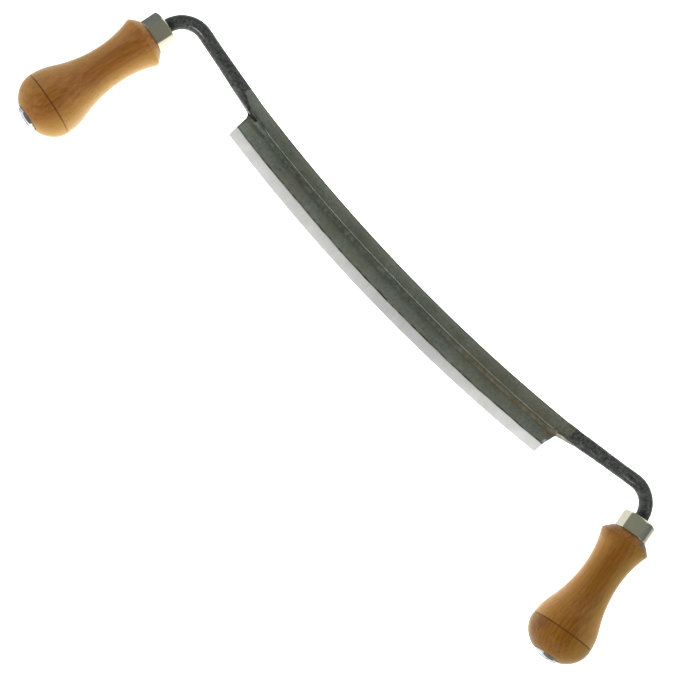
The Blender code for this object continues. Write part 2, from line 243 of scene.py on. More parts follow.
class DrawknifeBlade(bpy.types.PropertyGroup):
    """Sizes of the ground blade."""

    cut_length: metres("Cutting length", "Chord of the cutting edge", 0.2515)
    bow_radius: metres("Bow radius", "Radius of the bow in the plane of the blade", 1.060)
    bevel_width: metres("Bevel width", "Bevel, measured flat across the blade", 0.0062)
    hollow_width: metres("Hollow width", "From the top of the bevel to the ridge of the spine", 0.0114)
    spine_width: metres("Spine width", "Top of the spine, from ridge to back", 0.0074)
    spine_height: metres("Spine height", "Height of the spine above the flat back", 0.0080)
    web_thickness: metres("Web thickness", "Thickness of the blade under the hollow", 0.0035)
    edge_thickness: metres("Edge thickness", "What the stone leaves at the cutting edge", 0.0001)
    cove: metres("Cove", "Width of the cove under the ridge", 0.0030)
    end_cove: metres("Cove at the ends", "Width of the cove where the ridge is ground soft", 0.0040)
    corner_break: metres("Corner break", "Rounding of the spine's outer corners", 0.0005)
    ridge_round: metres("Ridge rounding", "Rounding of the ridge over the cove", 0.00035)
    end_ridge_round: metres("Ridge rounding at the ends", "Rounding where the ridge is ground soft", 0.0012)
    ridge_drift: metres_each("Ridge drift", "How far the ridge nears the edge at each end", 0.0006, 0.0013)
    soft_end: metres_each("Soft ends", "Length at each end over which the ridge is soft", 0.0115, 0.0034)
    lip_round: metres("Lip rounding", "Rounding where bevel and hollow meet", 0.00008)
    end_break: metres("End break", "Broken edge round the end cuts", 0.00012)
    bevel_waver: metres("Bevel waver", "How far the hand-ground top of the bevel wanders", 0.00045)
    bevel_taper: metres("Bevel taper", "How much the bevel narrows to the right end", 0.00020)
    end_edge: metres_each("End cuts, edge", "How far past the plain end cut the edge ends", 0.0004, -0.0012)
    end_shoulder: metres_each("End cuts, shoulder", "The same at the shoulder", 0.0, 0.0006)
    fillet_along: metres_each("Fillets, along", "Corner at each shoulder, along the tang", 0.0024, 0.0010)
    fillet_down: metres_each("Fillets, down", "The same, along the end cut", 0.0050, 0.0012)
    foot_width: metres_each("Feet", "Foot left along the inner side of each tang", 0.0, 0.0013)
    foot_length: metres_each("Foot length", "Length of that foot", 0.0034, 0.0125)
    foot_slope: metres_each("Foot slope", "How far that foot falls away from the tang", 0.0003, 0.0022)


class DrawknifeTang(bpy.types.PropertyGroup):
    """Sizes of the forged tangs and their studs."""

    root_width: metres("Root width", "Width of the tang where it leaves the blade", 0.0090)
    length: metres("Length", "From the end cut to the corner that the bend rounds off", 0.0668)
    rise: degrees("Rise", "Angle of the tang away from the user", 10.2)
    rod_diameter: metres("Rod diameter", "Where the forging has become round", 0.0086)
    forged_after: metres("Forged after", "Where the ground root has turned into a hammered bar", 0.014)
    round_after: metres("Round after", "Where the hammered bar has turned into a round rod", 0.045)
    hammered_flat: metres("Hammered flat", "Width of the flat on the inner upper corner", 0.0030)
    forged_corner: metres("Forged corner", "Rounding of the hammered bar's other corners", 0.0014)
    bend_radius: metres("Bend radius", "Radius of the bend, to the middle of the rod", 0.0155)
    stud_diameter: metres("Stud diameter", "Threaded stud inside the handle", 0.0080)
    stud_chamfer: metres("Stud chamfer", "Chamfer on the end of the stud", 0.0008)
    thread_pitch: metres("Thread pitch", "Pitch of the thread on the stud", 0.00125)
    thread_depth: metres("Thread depth", "Depth of the thread on the stud", 0.0007)
    threaded_length: metres("Threaded length", "Length of the thread on the stud", 0.0090)
    hammering: metres("Hammering", "Depth of the hammer marks in the scale", 0.00030)
    tongue_back: metres_each("Tongues, back", "Ground steel past each end, along the back", 0.0112, 0.0064)
    tongue_front: metres_each("Tongues, front", "The same along the inner side", -0.0020, 0.0046)
    # Painted highlight: where the bright patch that stands in for each bend's specular streak lies
    glint: metres_each("Rubs", "Where each bend is rubbed bright, from its start", 0.0040, -0.0020)
    glint_length: metres("Rub length", "Half the length of the bright rub", 0.0090)


class DrawknifeHandle(bpy.types.PropertyGroup):
    """Sizes of the turned handles, in order from the collar to the butt."""

    splay: degrees("Splay", "Angle of each handle away from the middle of the tool", 10.2)
    rim_diameter: metres("Rim diameter", "Rim behind the front dome", 0.0314)
    neck_diameter: metres("Neck diameter", "Slimmest part of the grip", 0.0233)
    bulb_diameter: metres("Bulb diameter", "Thickest part of the grip", 0.03924)
    dome_height: metres("Front dome", "Height of the dome between the collar and the rim", 0.0052)
    dome_bulge: metres("Dome bulge", "How far the front dome stands off a plain cone", 0.0002)
    seat_land: metres("Seat land", "Flat left round the collar", 0.0002)
    rim_to_neck: metres("Rim to neck", "From the rim to the neck", 0.0220)
    neck_to_bulb: metres("Neck to bulb", "From the neck to the middle of the bulb", 0.0417)
    hollow_share: factor("Hollow share", "Share of the swell that is hollow", 0.67)
    groove: metres_each("Grooves", "From each groove to the middle of the bulb", -0.0003, 0.0014)
    groove_width: metres("Groove width", "Groove burnt in with a wire", 0.0009)
    groove_depth: metres("Groove depth", "Depth of the groove", 0.0003)
    butt_round: metres("Butt round", "Depth of the full round of the butt", 0.0165)
    butt_land: metres("Butt land", "Wood left round the counterbore", 0.0010)
    rim_soften: metres_each("Rim rounding", "Rounding of each handle's rim", 0.0012, 0.0005)
    edge_soften: metres("Softened edges", "How far the sandpaper has rounded each edge", 0.0003)


class DrawknifeHardware(bpy.types.PropertyGroup):
    """Sizes of the collars, washers and end nuts."""

    collar_flats: metres("Collar flats", "Width across flats of the collars", 0.0180)
    collar_height: metres("Collar height", "Height of the collars", 0.0108)
    collar_from_bend: metres("Collar from bend", "Gap between bend and collar", 0.0002)
    collar_turn: degrees_each("Collar turns", "Turn of each collar about the tang", 25.0, 44.0)
    nut_flats: metres("Nut flats", "Width across flats of the end nuts", 0.0130)
    nut_height: metres("Nut height", "Height of the end nuts", 0.0065)
    nut_proud: metres("Nut proud", "How far the end nuts stand out of the butts", 0.0021)
    nut_turn: degrees_each("Nut turns", "Turn of each end nut about the stud", 27.0, 22.0)
    chamfer_circle: factor("Chamfer circle", "Share of the flats that a nut's end face keeps", 0.95)
    chamfer_angle: degrees("Chamfer angle", "Slope of the turned ends of the nuts", 30.0)
    corner_round: metres("Corner rounding", "Rounding of the corners of the hexagons", 0.0003)
    countersink: metres("Countersink", "Depth of the countersink round each bore", 0.0006)
    washer_diameter: metres("Washer diameter", "Washers under the end nuts", 0.0160)
    washer_thickness: metres("Washer thickness", "Washers under the end nuts", 0.0016)
    fit_gap: metres("Fit gap", "Clearance between pieces", 0.0003)
    bore_clearance: metres("Counterbore clearance", "Room round the washers", 0.0005)
    stud_short: metres("Stud short of nut", "How far the stud ends inside its nut", 0.0004)


class DrawknifeFinish(bpy.types.PropertyGroup):
    """Colours of the metal and the wood."""

    steel_light: colour("Ground steel, light", "Rubbed parts of spine and hollow", (0.425, 0.492, 0.412))
    steel_dark: colour("Ground steel, dark", "Duller parts of spine and hollow", (0.132, 0.152, 0.124))
    steel_warm: colour("Ground steel, warm", "Straw-coloured patches", (0.290, 0.276, 0.196))
    tarnish: colour("Tarnish", "Grey tarnish in the cove", (0.058, 0.063, 0.049))
    rust: colour("Rust", "Brown tarnish towards the right end", (0.128, 0.103, 0.062))
    # Painted shade: dark line along the top of the bevel, also in the crack at the left end and the
    # shoulders
    burr: colour("Burr line", "Dark line along the top of the bevel", (0.030, 0.034, 0.028))
    bevel_light: colour("Bevel, light", "Bright lines of the ground bevel", (0.66, 0.66, 0.64))
    bevel_dark: colour("Bevel, dark", "Dull lines of the ground bevel", (0.40, 0.405, 0.39))
    scale_light: colour("Forge scale, light", "Rubbed forge scale", (0.121, 0.130, 0.124))
    scale_dark: colour("Forge scale, dark", "Forge scale in the hammer marks", (0.020, 0.022, 0.020))
    # Painted highlight on the collar facets that face the blade; also the colour of rubbed edges
    collar_highlight_and_wear: colour("Collar, bright", "Plating rubbed by the work", (0.70, 0.665, 0.50))
    collar_light: colour("Collar, light", "Paler patches of the plating", (0.460, 0.455, 0.350))
    collar_dark: colour("Collar, dark", "Darker patches of the plating", (0.385, 0.386, 0.250))
    # Painted shade on the collar facets that face out
    collar_shade: colour("Collar, dull", "Plating dulled by hands", (0.088, 0.097, 0.082))
    zinc_light: colour("Zinc, light", "Rubbed zinc of nuts and washers", (0.62, 0.65, 0.68))
    zinc_dark: colour("Zinc, dark", "Dull zinc of nuts and washers", (0.24, 0.26, 0.27))
    left_wood_light: colour("Left wood, light", "Early wood of the left handle", (0.380, 0.150, 0.026))
    left_wood_dark: colour("Left wood, dark", "Late wood of the left handle", (0.190, 0.066, 0.009))
    right_wood_light: colour("Right wood, light", "Early wood of the right handle", (0.290, 0.120, 0.012))
    right_wood_dark: colour("Right wood, dark", "Late wood of the right handle", (0.145, 0.052, 0.003))
    # Painted highlight: colours towards which the flanks of each handle are painted
    left_wood_flank_highlight: colour("Left wood, golden", "Flanks of the left handle", (0.460, 0.250, 0.050))
    right_wood_flank_highlight: colour("Right wood, golden", "Flanks of the right handle", (0.380, 0.210, 0.022))
    # Also the painted shade on the front domes and the painted shadow next to the collars
    burnt_and_shaded_wood: colour("Burnt wood", "Wood in the groove", (0.070, 0.024, 0.003))


class DrawknifeStage(bpy.types.PropertyGroup):
    """Floor, light and camera."""

    floor_colour: colour("Floor colour", "Pale floor", (0.92, 0.92, 0.92))
    sky_low: amount("Low light", "Light from the sides of the studio", 1.2)
    sky_high: amount("High light", "Light from straight above", 0.25)
    floor_glow: amount("Floor glow", "Light through the middle of the floor", 2.0)
    key_power: amount("Key power", "Each soft light on the user's side", 1.5, "POWER")
    aim: FloatVectorProperty(name="Aim", description="Point in the middle of the picture",
                             default=(-0.0003, -0.0145, 0.016), unit="LENGTH", subtype="XYZ")
    distance: metres("Distance", "From the camera to the point it looks at", 2.0)
    lens: amount("Lens", "Focal length in millimetres", 187.2)
    lean_left: degrees("Lean to the left", "Tilt of the view towards the left handle", 2.27)
    lean_user: degrees("Lean to the user", "Tilt of the view towards the user", 2.96)
    turn: degrees("Turn", "Angle of the tool in the picture", 45.95)


class DrawknifeSettings(bpy.types.PropertyGroup):
    """Everything that the operators read."""

    blade: PointerProperty(name="Blade", description="Sizes of the blade", type=DrawknifeBlade)
    tang: PointerProperty(name="Tangs", description="Sizes of the tangs", type=DrawknifeTang)
    handle: PointerProperty(name="Handles", description="Sizes of the handles", type=DrawknifeHandle)
    hardware: PointerProperty(name="Hardware", description="Nuts and washers", type=DrawknifeHardware)
    finish: PointerProperty(name="Finish", description="Colours of metal and wood", type=DrawknifeFinish)
    stage: PointerProperty(name="Stage", description="Floor, light and camera", type=DrawknifeStage)


def of_side(pair, name):
    """What one half has of a setting that is given for the left and the right."""
    return pair[0 if name == "left" else 1]


def tool_matrix():
    """Where the tool frame lies on the bench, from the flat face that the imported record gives."""
    flat = next(mount for mount in frame["record"]["mounts"] if mount["name"] == "blade_back")
    lie = math.atan2(-flat["axis"][1], -flat["axis"][2])
    turn = Matrix.Rotation(-lie, 4, "X")
    middle_of_back = turn @ Vector((0.0, MOUNT_FROM_EDGE, 0.0))
    return Matrix.Translation(Vector(flat["pos_m"]) - middle_of_back) @ turn


def eased(share):
    """Share from 0 to 1, without a kink at either end."""
    held = np.clip(share, 0.0, 1.0)
    return held * held * (3 - 2 * held)


def blend(start, end, share):
    return start + (end - start) * eased(share)


def line(start, end, count):
    """Points along a line, the last one left to the next stretch."""
    return np.linspace(start, end, count, endpoint=False)


def arc(centre, radius, start, end, count):
    """Points along an arc given in degrees, the last one left to the next stretch."""
    turns = np.radians(np.linspace(start, end, count, endpoint=False))
    return np.column_stack((centre[0] + radius * np.cos(turns), centre[1] + radius * np.sin(turns)))


def curve(start, corner, end, count):
    """Points of a curve that leaves its start towards a corner and reaches its end from there."""
    shares = np.linspace(0.0, 1.0, count)[:, None]
    start, corner, end = (np.asarray(point) for point in (start, corner, end))
    return start * (1 - shares) ** 2 + corner * 2 * shares * (1 - shares) + end * shares ** 2


class Skin:
    """Points, faces and point values of a piece while it is being built."""

    def __init__(self):
        self.points = []
        self.faces = []
        self.finishes = []
        self.values = {}

    def add_loft(self, rings, closed=False, finish=0, **values):
        """Skin a row of rings with equal point counts; the row ends in flat caps or joins up."""
        rings = np.asarray(rings)
        row_count, ring_count = rings.shape[:2]
        first = len(self.points)
        index = first + np.arange(row_count * ring_count).reshape(row_count, ring_count)
        self.points.extend(rings.reshape(-1, 3))
        near = index if closed else index[:-1]
        far = np.roll(index, -1, axis=0) if closed else index[1:]
        corners = (near, np.roll(near, -1, axis=1), np.roll(far, -1, axis=1), far)
        self.faces.extend(np.stack(corners, axis=-1).reshape(-1, 4).tolist())
        self.finishes.extend(np.broadcast_to(finish, near.shape).reshape(-1).tolist())
        if not closed:
            self.faces.extend([index[0].tolist(), index[-1].tolist()])
            self.finishes.extend([int(np.ravel(finish)[0]), int(np.ravel(finish)[-1])])
        for name in sorted({*self.values, *values}):
            column = self.values.setdefault(name, [0.0] * first)
            column.extend(np.broadcast_to(values.get(name, 0.0), index.shape).reshape(-1).tolist())

    def add_sheet(self, grid):
        """Skin an open grid of points."""
        rows, columns = grid.shape[:2]
        index = len(self.points) + np.arange(rows * columns).reshape(rows, columns)
        self.points.extend(grid.reshape(-1, 3))
        corners = (index[:-1, :-1], index[:-1, 1:], index[1:, 1:], index[1:, :-1])
        self.faces.extend(np.stack(corners, axis=-1).reshape(-1, 4).tolist())
        self.finishes.extend([0] * (rows - 1) * (columns - 1))

    def to_mesh(self, name, finishes, place):
        """A mesh in its final place, whose points keep their own coordinates as a point value."""
        mesh = bpy.data.meshes.new(name)
        mesh.from_pydata([tuple(point) for point in self.points], [], self.faces)
        mesh.polygons.foreach_set("material_index", self.finishes)
        own_place = mesh.attributes.new("place", "FLOAT_VECTOR", "POINT")
        own_place.data.foreach_set("vector", np.ravel(self.points))
        for value_name, column in self.values.items():
            attribute = mesh.attributes.new(value_name, "FLOAT", "POINT")
            attribute.data.foreach_set("value", column)
        for finish in finishes:
            mesh.materials.append(finish)
        work = bmesh.new()
        work.from_mesh(mesh)
        bmesh.ops.recalc_face_normals(work, faces=work.faces)
        work.to_mesh(mesh)
        work.free()
        mesh.transform(place)
        mesh.shade_smooth()
        mesh.set_sharp_from_angle(angle=SMOOTH_ANGLE)
        return mesh


def put_in_scene(name, data):
    made = bpy.data.objects.new(name, data)
    bpy.context.scene.collection.objects.link(made)
    return made


def put_piece(name, skin, finishes, place, node):
    """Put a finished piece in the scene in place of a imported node."""
    piece = put_in_scene(name, skin.to_mesh(name, finishes, place))
    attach(piece, "root")
    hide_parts(node)


class Sheet:
    """A node tree with short ways to place and join its nodes."""

    def __init__(self, tree):
        self.tree = tree

    def add(self, kind, inputs=None, **settings):
        node = self.tree.nodes.new("ShaderNode" + kind)
        for key, value in settings.items():
            setattr(node, key, value)
        for socket, value in (inputs or {}).items():
            self.feed(node.inputs[socket], value)
        return node

    def feed(self, socket, value):
        if isinstance(value, bpy.types.NodeSocket):
            self.tree.links.new(value, socket)
        else:
            socket.default_value = value

    def math(self, operation, first, second=0.0):
        return self.add("Math", {0: first, 1: second}, operation=operation).outputs[0]

    def times(self, first, second):
        return self.math("MULTIPLY", first, second)

    def total(self, *weighted):
        """Sum of (value, weight) pairs."""
        parts = [self.times(*pair) for pair in weighted]
        whole = parts[0]
        for part in parts[1:]:
            whole = self.math("ADD", whole, part)
        return whole

    def vector(self, operation, first, second):
        return self.add("VectorMath", {0: first, 1: second}, operation=operation).outputs[0]

    def mix(self, first, second, share):
        node = self.add("Mix", {0: share, 6: shade(first), 7: shade(second)}, data_type="RGBA")
        return node.outputs[2]

    def choose(self, first, second, share):
        return self.add("Mix", {0: share, 2: first, 3: second}).outputs[0]

    def between(self, low, high, share):
        """A number that runs from low to high as the share runs from 0 to 1."""
        return self.add("MapRange", {"Value": share, "To Min": low, "To Max": high}).outputs[0]

    def step(self, value, start, end):
        """0 up to the start, 1 past the end and a soft slope between them."""
        inputs = {"Value": value, "From Min": start, "From Max": end}
        return self.add("MapRange", inputs, interpolation_type="SMOOTHSTEP").outputs[0]

    def value_of(self, name):
        return self.add("Attribute", attribute_name=name).outputs["Fac"]

    def bump(self, height, distance, strength=1.0):
        inputs = {"Height": height, "Distance": distance, "Strength": strength}
        return self.add("Bump", inputs).outputs["Normal"]


def shade(value):
    """A colour property as the four numbers that a colour socket takes."""
    return value if isinstance(value, bpy.types.NodeSocket) else (*value, 1.0)


def streaks(sheet, given):
    """Fine lines drawn out along one direction."""
    drawn = sheet.vector("MULTIPLY", given["Vector"], given["Stretch"])
    lines = sheet.add("TexNoise", {"Vector": drawn, "Scale": 1.0, "Detail": 3.0, "Roughness": 0.6})
    return sheet.step(lines.outputs["Fac"], 0.28, 0.72)


def mottling(sheet, given):
    """Broad soft patches of tone."""
    patches = sheet.add("TexNoise", {"Vector": given["Vector"], "Scale": given["Scale"], "Detail": 4.0,
                                     "Roughness": 0.55, "Distortion": 0.4})
    return sheet.step(patches.outputs["Fac"], 0.3, 0.7)


def worn_edges(sheet, given):
    """Rubbed edges with a ragged border, from a point value that is 1 along them."""
    ragged = sheet.add("TexNoise", {"Vector": given["Vector"], "Scale": given["Scale"], "Detail": 5.0})
    raised = sheet.math("ADD", given["Edge"], sheet.between(-0.55, 0.55, ragged.outputs["Fac"]))
    return sheet.step(raised, 0.45, 0.95)


def pits(sheet, given):
    """Scattered small pits of uneven size."""
    cells = sheet.add("TexVoronoi", {"Vector": given["Vector"], "Scale": given["Scale"]})
    uneven = sheet.add("TexNoise", {"Vector": given["Vector"], "Scale": given["Scale"], "Detail": 2.0})
    near = sheet.math("SUBTRACT", given["Size"], cells.outputs["Distance"])
    near = sheet.math("ADD", near, sheet.between(-0.22, 0.12, uneven.outputs["Fac"]))
    return sheet.step(near, 0.0, 0.12)


VECTOR, NUMBER = "NodeSocketVector", "NodeSocketFloat"
SHARED_EFFECTS = {
    "streaks": (streaks, (("Vector", VECTOR), ("Stretch", VECTOR)), "Lines"),
    "mottling": (mottling, (("Vector", VECTOR), ("Scale", NUMBER)), "Tone"),
    "worn_edges": (worn_edges, (("Vector", VECTOR), ("Edge", NUMBER), ("Scale", NUMBER)), "Wear"),
    "pits": (pits, (("Vector", VECTOR), ("Scale", NUMBER), ("Size", NUMBER)), "Pits"),
}


def shared_effect(name):
    """The node group of a shared effect, made the first time that a material asks for it."""
    if name in bpy.data.node_groups:
        return bpy.data.node_groups[name]
    draw, inputs, output = SHARED_EFFECTS[name]
    tree = bpy.data.node_groups.new(name, "ShaderNodeTree")
    for socket, kind in inputs:
        tree.interface.new_socket(socket, in_out="INPUT", socket_type=kind)
    tree.interface.new_socket(output, in_out="OUTPUT", socket_type=NUMBER)
    given = tree.nodes.new("NodeGroupInput").outputs
    made = draw(Sheet(tree), given)
    tree.links.new(made, tree.nodes.new("NodeGroupOutput").inputs[output])
    return tree


class Finish(Sheet):
    """The nodes of a material, with its shader and the coordinates of the piece it lies on."""

    def __init__(self, name):
        self.material = bpy.data.materials.new(name)
        self.material.use_nodes = True
        super().__init__(self.material.node_tree)
        self.shader = self.tree.nodes["Principled BSDF"]
        self.place = self.add("Attribute", attribute_name="place").outputs["Vector"]

    def effect(self, name, **inputs):
        """Place one of the shared effects, on the piece's own coordinates unless told otherwise."""
        node = self.tree.nodes.new("ShaderNodeGroup")
        node.node_tree = shared_effect(name)
        for socket, value in {"Vector": self.place, **inputs}.items():
            self.feed(node.inputs[socket], value)
        return node.outputs[0]

    def dress(self, **inputs):
        """Feed the shader's sockets and give back the material."""
        for socket, value in inputs.items():
            self.feed(self.shader.inputs[socket.replace("_", " ")], value)
        return self.material


def ground_steel(tones):
    """Spine and hollow ground along their length, tarnished in the cove, with forge scale on the tangs."""
    sheet = Finish("ground_steel_and_forge_scale")
    lines = sheet.effect("streaks", Stretch=(60.0, 3200.0, 3200.0))
    patches = sheet.effect("mottling", Scale=60.0)
    grains = sheet.effect("mottling", Scale=650.0)
    ragged = sheet.effect("mottling", Scale=240.0)
    rust_specks = sheet.effect("pits", Scale=620.0, Size=0.16)
    along = sheet.add("SeparateXYZ", {0: sheet.place}).outputs["X"]
    left_end = sheet.step(along, *BRIGHT_LEFT_END)
    tone = sheet.total((lines, 0.25), (patches, 0.35), (grains, 0.40), (left_end, 0.35))
    steel = sheet.mix(tones.steel_dark, tones.steel_light, tone)
    warm = sheet.effect("mottling", Vector=sheet.vector("ADD", sheet.place, WARM_SHIFT), Scale=95.0)
    steel = sheet.mix(steel, tones.steel_warm, sheet.times(warm, 0.6))
    tarnish = sheet.times(sheet.value_of("tarnish"), sheet.between(0.70, 1.0, ragged))
    stain = sheet.mix(tones.tarnish, tones.rust, sheet.step(along, *RUST_ALONG))
    steel = sheet.mix(steel, stain, tarnish)
    steel = sheet.mix(steel, stain, sheet.times(rust_specks, 0.35))
    # Chipped ends, and a painted highlight along the ridge
    chips = sheet.effect("worn_edges", Edge=sheet.value_of("chips"), Scale=480.0)
    steel = sheet.mix(steel, tones.bevel_light, chips)
    # Painted shade: dark line along the top of the bevel, the crack at the left end, the shoulders and the
    # rods
    wavy = sheet.math("ADD", sheet.value_of("burr"), sheet.between(-0.2, 0.2, ragged))
    burr = sheet.step(wavy, 0.30, 0.80)
    steel = sheet.mix(steel, tones.burr, burr)

    flakes = sheet.effect("mottling", Scale=620.0)
    hammered = sheet.effect("mottling", Scale=150.0)
    scale_pits = sheet.effect("pits", Scale=900.0, Size=0.24)
    scale_tone = sheet.times(sheet.between(0.10, 1.0, flakes), sheet.between(0.5, 1.0, hammered))
    scale = sheet.mix(tones.scale_dark, tones.scale_light, scale_tone)
    # Painted highlight: a bright, smoother patch on each bend in place of its specular streak
    rubbed = sheet.effect("worn_edges", Edge=sheet.value_of("rubbed"), Scale=300.0)
    scale = sheet.mix(scale, tones.bevel_dark, rubbed)
    scale = sheet.mix(scale, tones.scale_dark, burr)
    rough = {"Vector": sheet.place, "Scale": 380.0, "Detail": 5.0, "Roughness": 0.65}
    border = sheet.between(-GROUND_BORDER, GROUND_BORDER, sheet.add("TexNoise", rough).outputs["Fac"])
    ground = sheet.step(sheet.math("ADD", sheet.value_of("ground"), border), -GROUND_BLUR, GROUND_BLUR)

    steel_rough = sheet.math("MAXIMUM", sheet.between(0.52, 0.38, tone), sheet.between(0.38, 0.62, tarnish))
    scale_rough = sheet.choose(sheet.between(0.36, 0.60, flakes), 0.30, rubbed)
    scale_metal = sheet.between(0.30, 1.0, rubbed)
    steel_height = sheet.total((lines, 0.10), (grains, 0.10))
    scale_height = sheet.total((flakes, 0.8), (scale_pits, -0.5))
    return sheet.dress(
        Base_Color=sheet.mix(scale, steel, ground),
        Roughness=sheet.choose(scale_rough, steel_rough, ground),
        Metallic=sheet.choose(scale_metal, 1.0, ground),
        Specular_IOR_Level=0.35,
        Normal=sheet.bump(sheet.choose(scale_height, steel_height, ground), 0.00016, 0.9),
    )


def bevel_steel(tones):
    """Bevel ground across its width to a bright edge."""
    sheet = Finish("bright_ground_bevel")
    lines = sheet.effect("streaks", Stretch=(2600.0, 120.0, 120.0))
    patches = sheet.effect("mottling", Scale=110.0)
    nicks = sheet.effect("pits", Scale=760.0, Size=0.14)
    along = sheet.add("SeparateXYZ", {0: sheet.place}).outputs["X"]
    from_dull = sheet.math("ABSOLUTE", sheet.math("SUBTRACT", along, DULL_BEVEL_AT))
    tone = sheet.total((lines, 0.2), (patches, 0.2), (sheet.value_of("honed"), 0.25),
                       (sheet.step(from_dull, 0.0, DULL_BEVEL_REACH), 0.4))
    steel = sheet.mix(tones.bevel_dark, tones.bevel_light, tone)
    steel = sheet.mix(steel, tones.bevel_dark, sheet.times(nicks, 0.6))
    return sheet.dress(
        Base_Color=steel,
        Metallic=1.0,
        Roughness=sheet.between(0.48, 0.36, tone),
        Normal=sheet.bump(sheet.total((lines, 1.0), (nicks, -0.8)), 0.00004, 0.6),
    )


def stud_steel(tones):
    """Cut thread, dull in its roots."""
    sheet = Finish("cut_thread_steel")
    lines = sheet.effect("streaks", Stretch=(1500.0, 1500.0, 1500.0))
    patches = sheet.effect("mottling", Scale=300.0)
    return sheet.dress(
        Base_Color=sheet.mix(tones.steel_light, tones.zinc_dark, patches),
        Metallic=1.0,
        Roughness=sheet.between(0.3, 0.5, lines),
        Normal=sheet.bump(lines, 0.00004, 0.5),
    )


def plated_steel(tones):
    """Dull plating, rubbed at the edges, painted shade on outer facets, painted highlight on inner ones."""
    sheet = Finish("dull_plated_steel")
    draw_marks = sheet.effect("streaks", Stretch=(2600.0, 2600.0, 120.0))
    patches = sheet.effect("mottling", Scale=150.0)
    wear = sheet.effect("worn_edges", Edge=sheet.value_of("edge"), Scale=520.0)
    specks = sheet.effect("pits", Scale=850.0, Size=0.2)
    tone = sheet.total((draw_marks, 0.5), (patches, 0.5))
    inward = sheet.value_of("inward")
    plate = sheet.mix(tones.collar_dark, tones.collar_light, tone)
    # Painted light: facets that face out are painted in shade, those that face the blade as a highlight
    rubbed = sheet.mix(tones.collar_shade, tones.collar_highlight_and_wear, sheet.value_of("shine"))
    plate = sheet.mix(plate, rubbed, sheet.step(sheet.math("ABSOLUTE", inward), 0.24, 0.46))
    plate = sheet.mix(plate, tones.collar_highlight_and_wear, sheet.times(wear, 0.5))
    plate = sheet.mix(plate, tones.tarnish, sheet.times(specks, 0.4))
    height = sheet.total((draw_marks, 0.5), (specks, -0.6))
    return sheet.dress(
        Base_Color=plate,
        Metallic=1.0,
        Roughness=sheet.between(0.48, 0.32, tone),
        Normal=sheet.bump(height, 0.00005, 0.7),
    )


def bright_zinc(tones):
    """Bright zinc with faint crystals, rubbed along its edges and dull in its pits."""
    sheet = Finish("bright_zinc_plate")
    crystals = sheet.add("TexVoronoi", {"Vector": sheet.place, "Scale": 480.0})
    crystal = sheet.add("SeparateColor", {"Color": crystals.outputs["Color"]}).outputs[0]
    patches = sheet.effect("mottling", Scale=260.0)
    wear = sheet.effect("worn_edges", Edge=sheet.value_of("edge"), Scale=700.0)
    specks = sheet.effect("pits", Scale=1200.0, Size=0.2)
    tone = sheet.total((crystal, 0.3), (patches, 0.7))
    zinc = sheet.mix(tones.zinc_dark, tones.zinc_light, tone)
    zinc = sheet.mix(zinc, tones.zinc_light, wear)
    zinc = sheet.mix(zinc, tones.zinc_dark, sheet.times(specks, 0.7))
    return sheet.dress(
        Base_Color=zinc,
        Metallic=1.0,
        Roughness=sheet.between(0.34, 0.2, tone),
        Normal=sheet.bump(sheet.math("SUBTRACT", patches, specks), 0.00004, 0.5),
    )


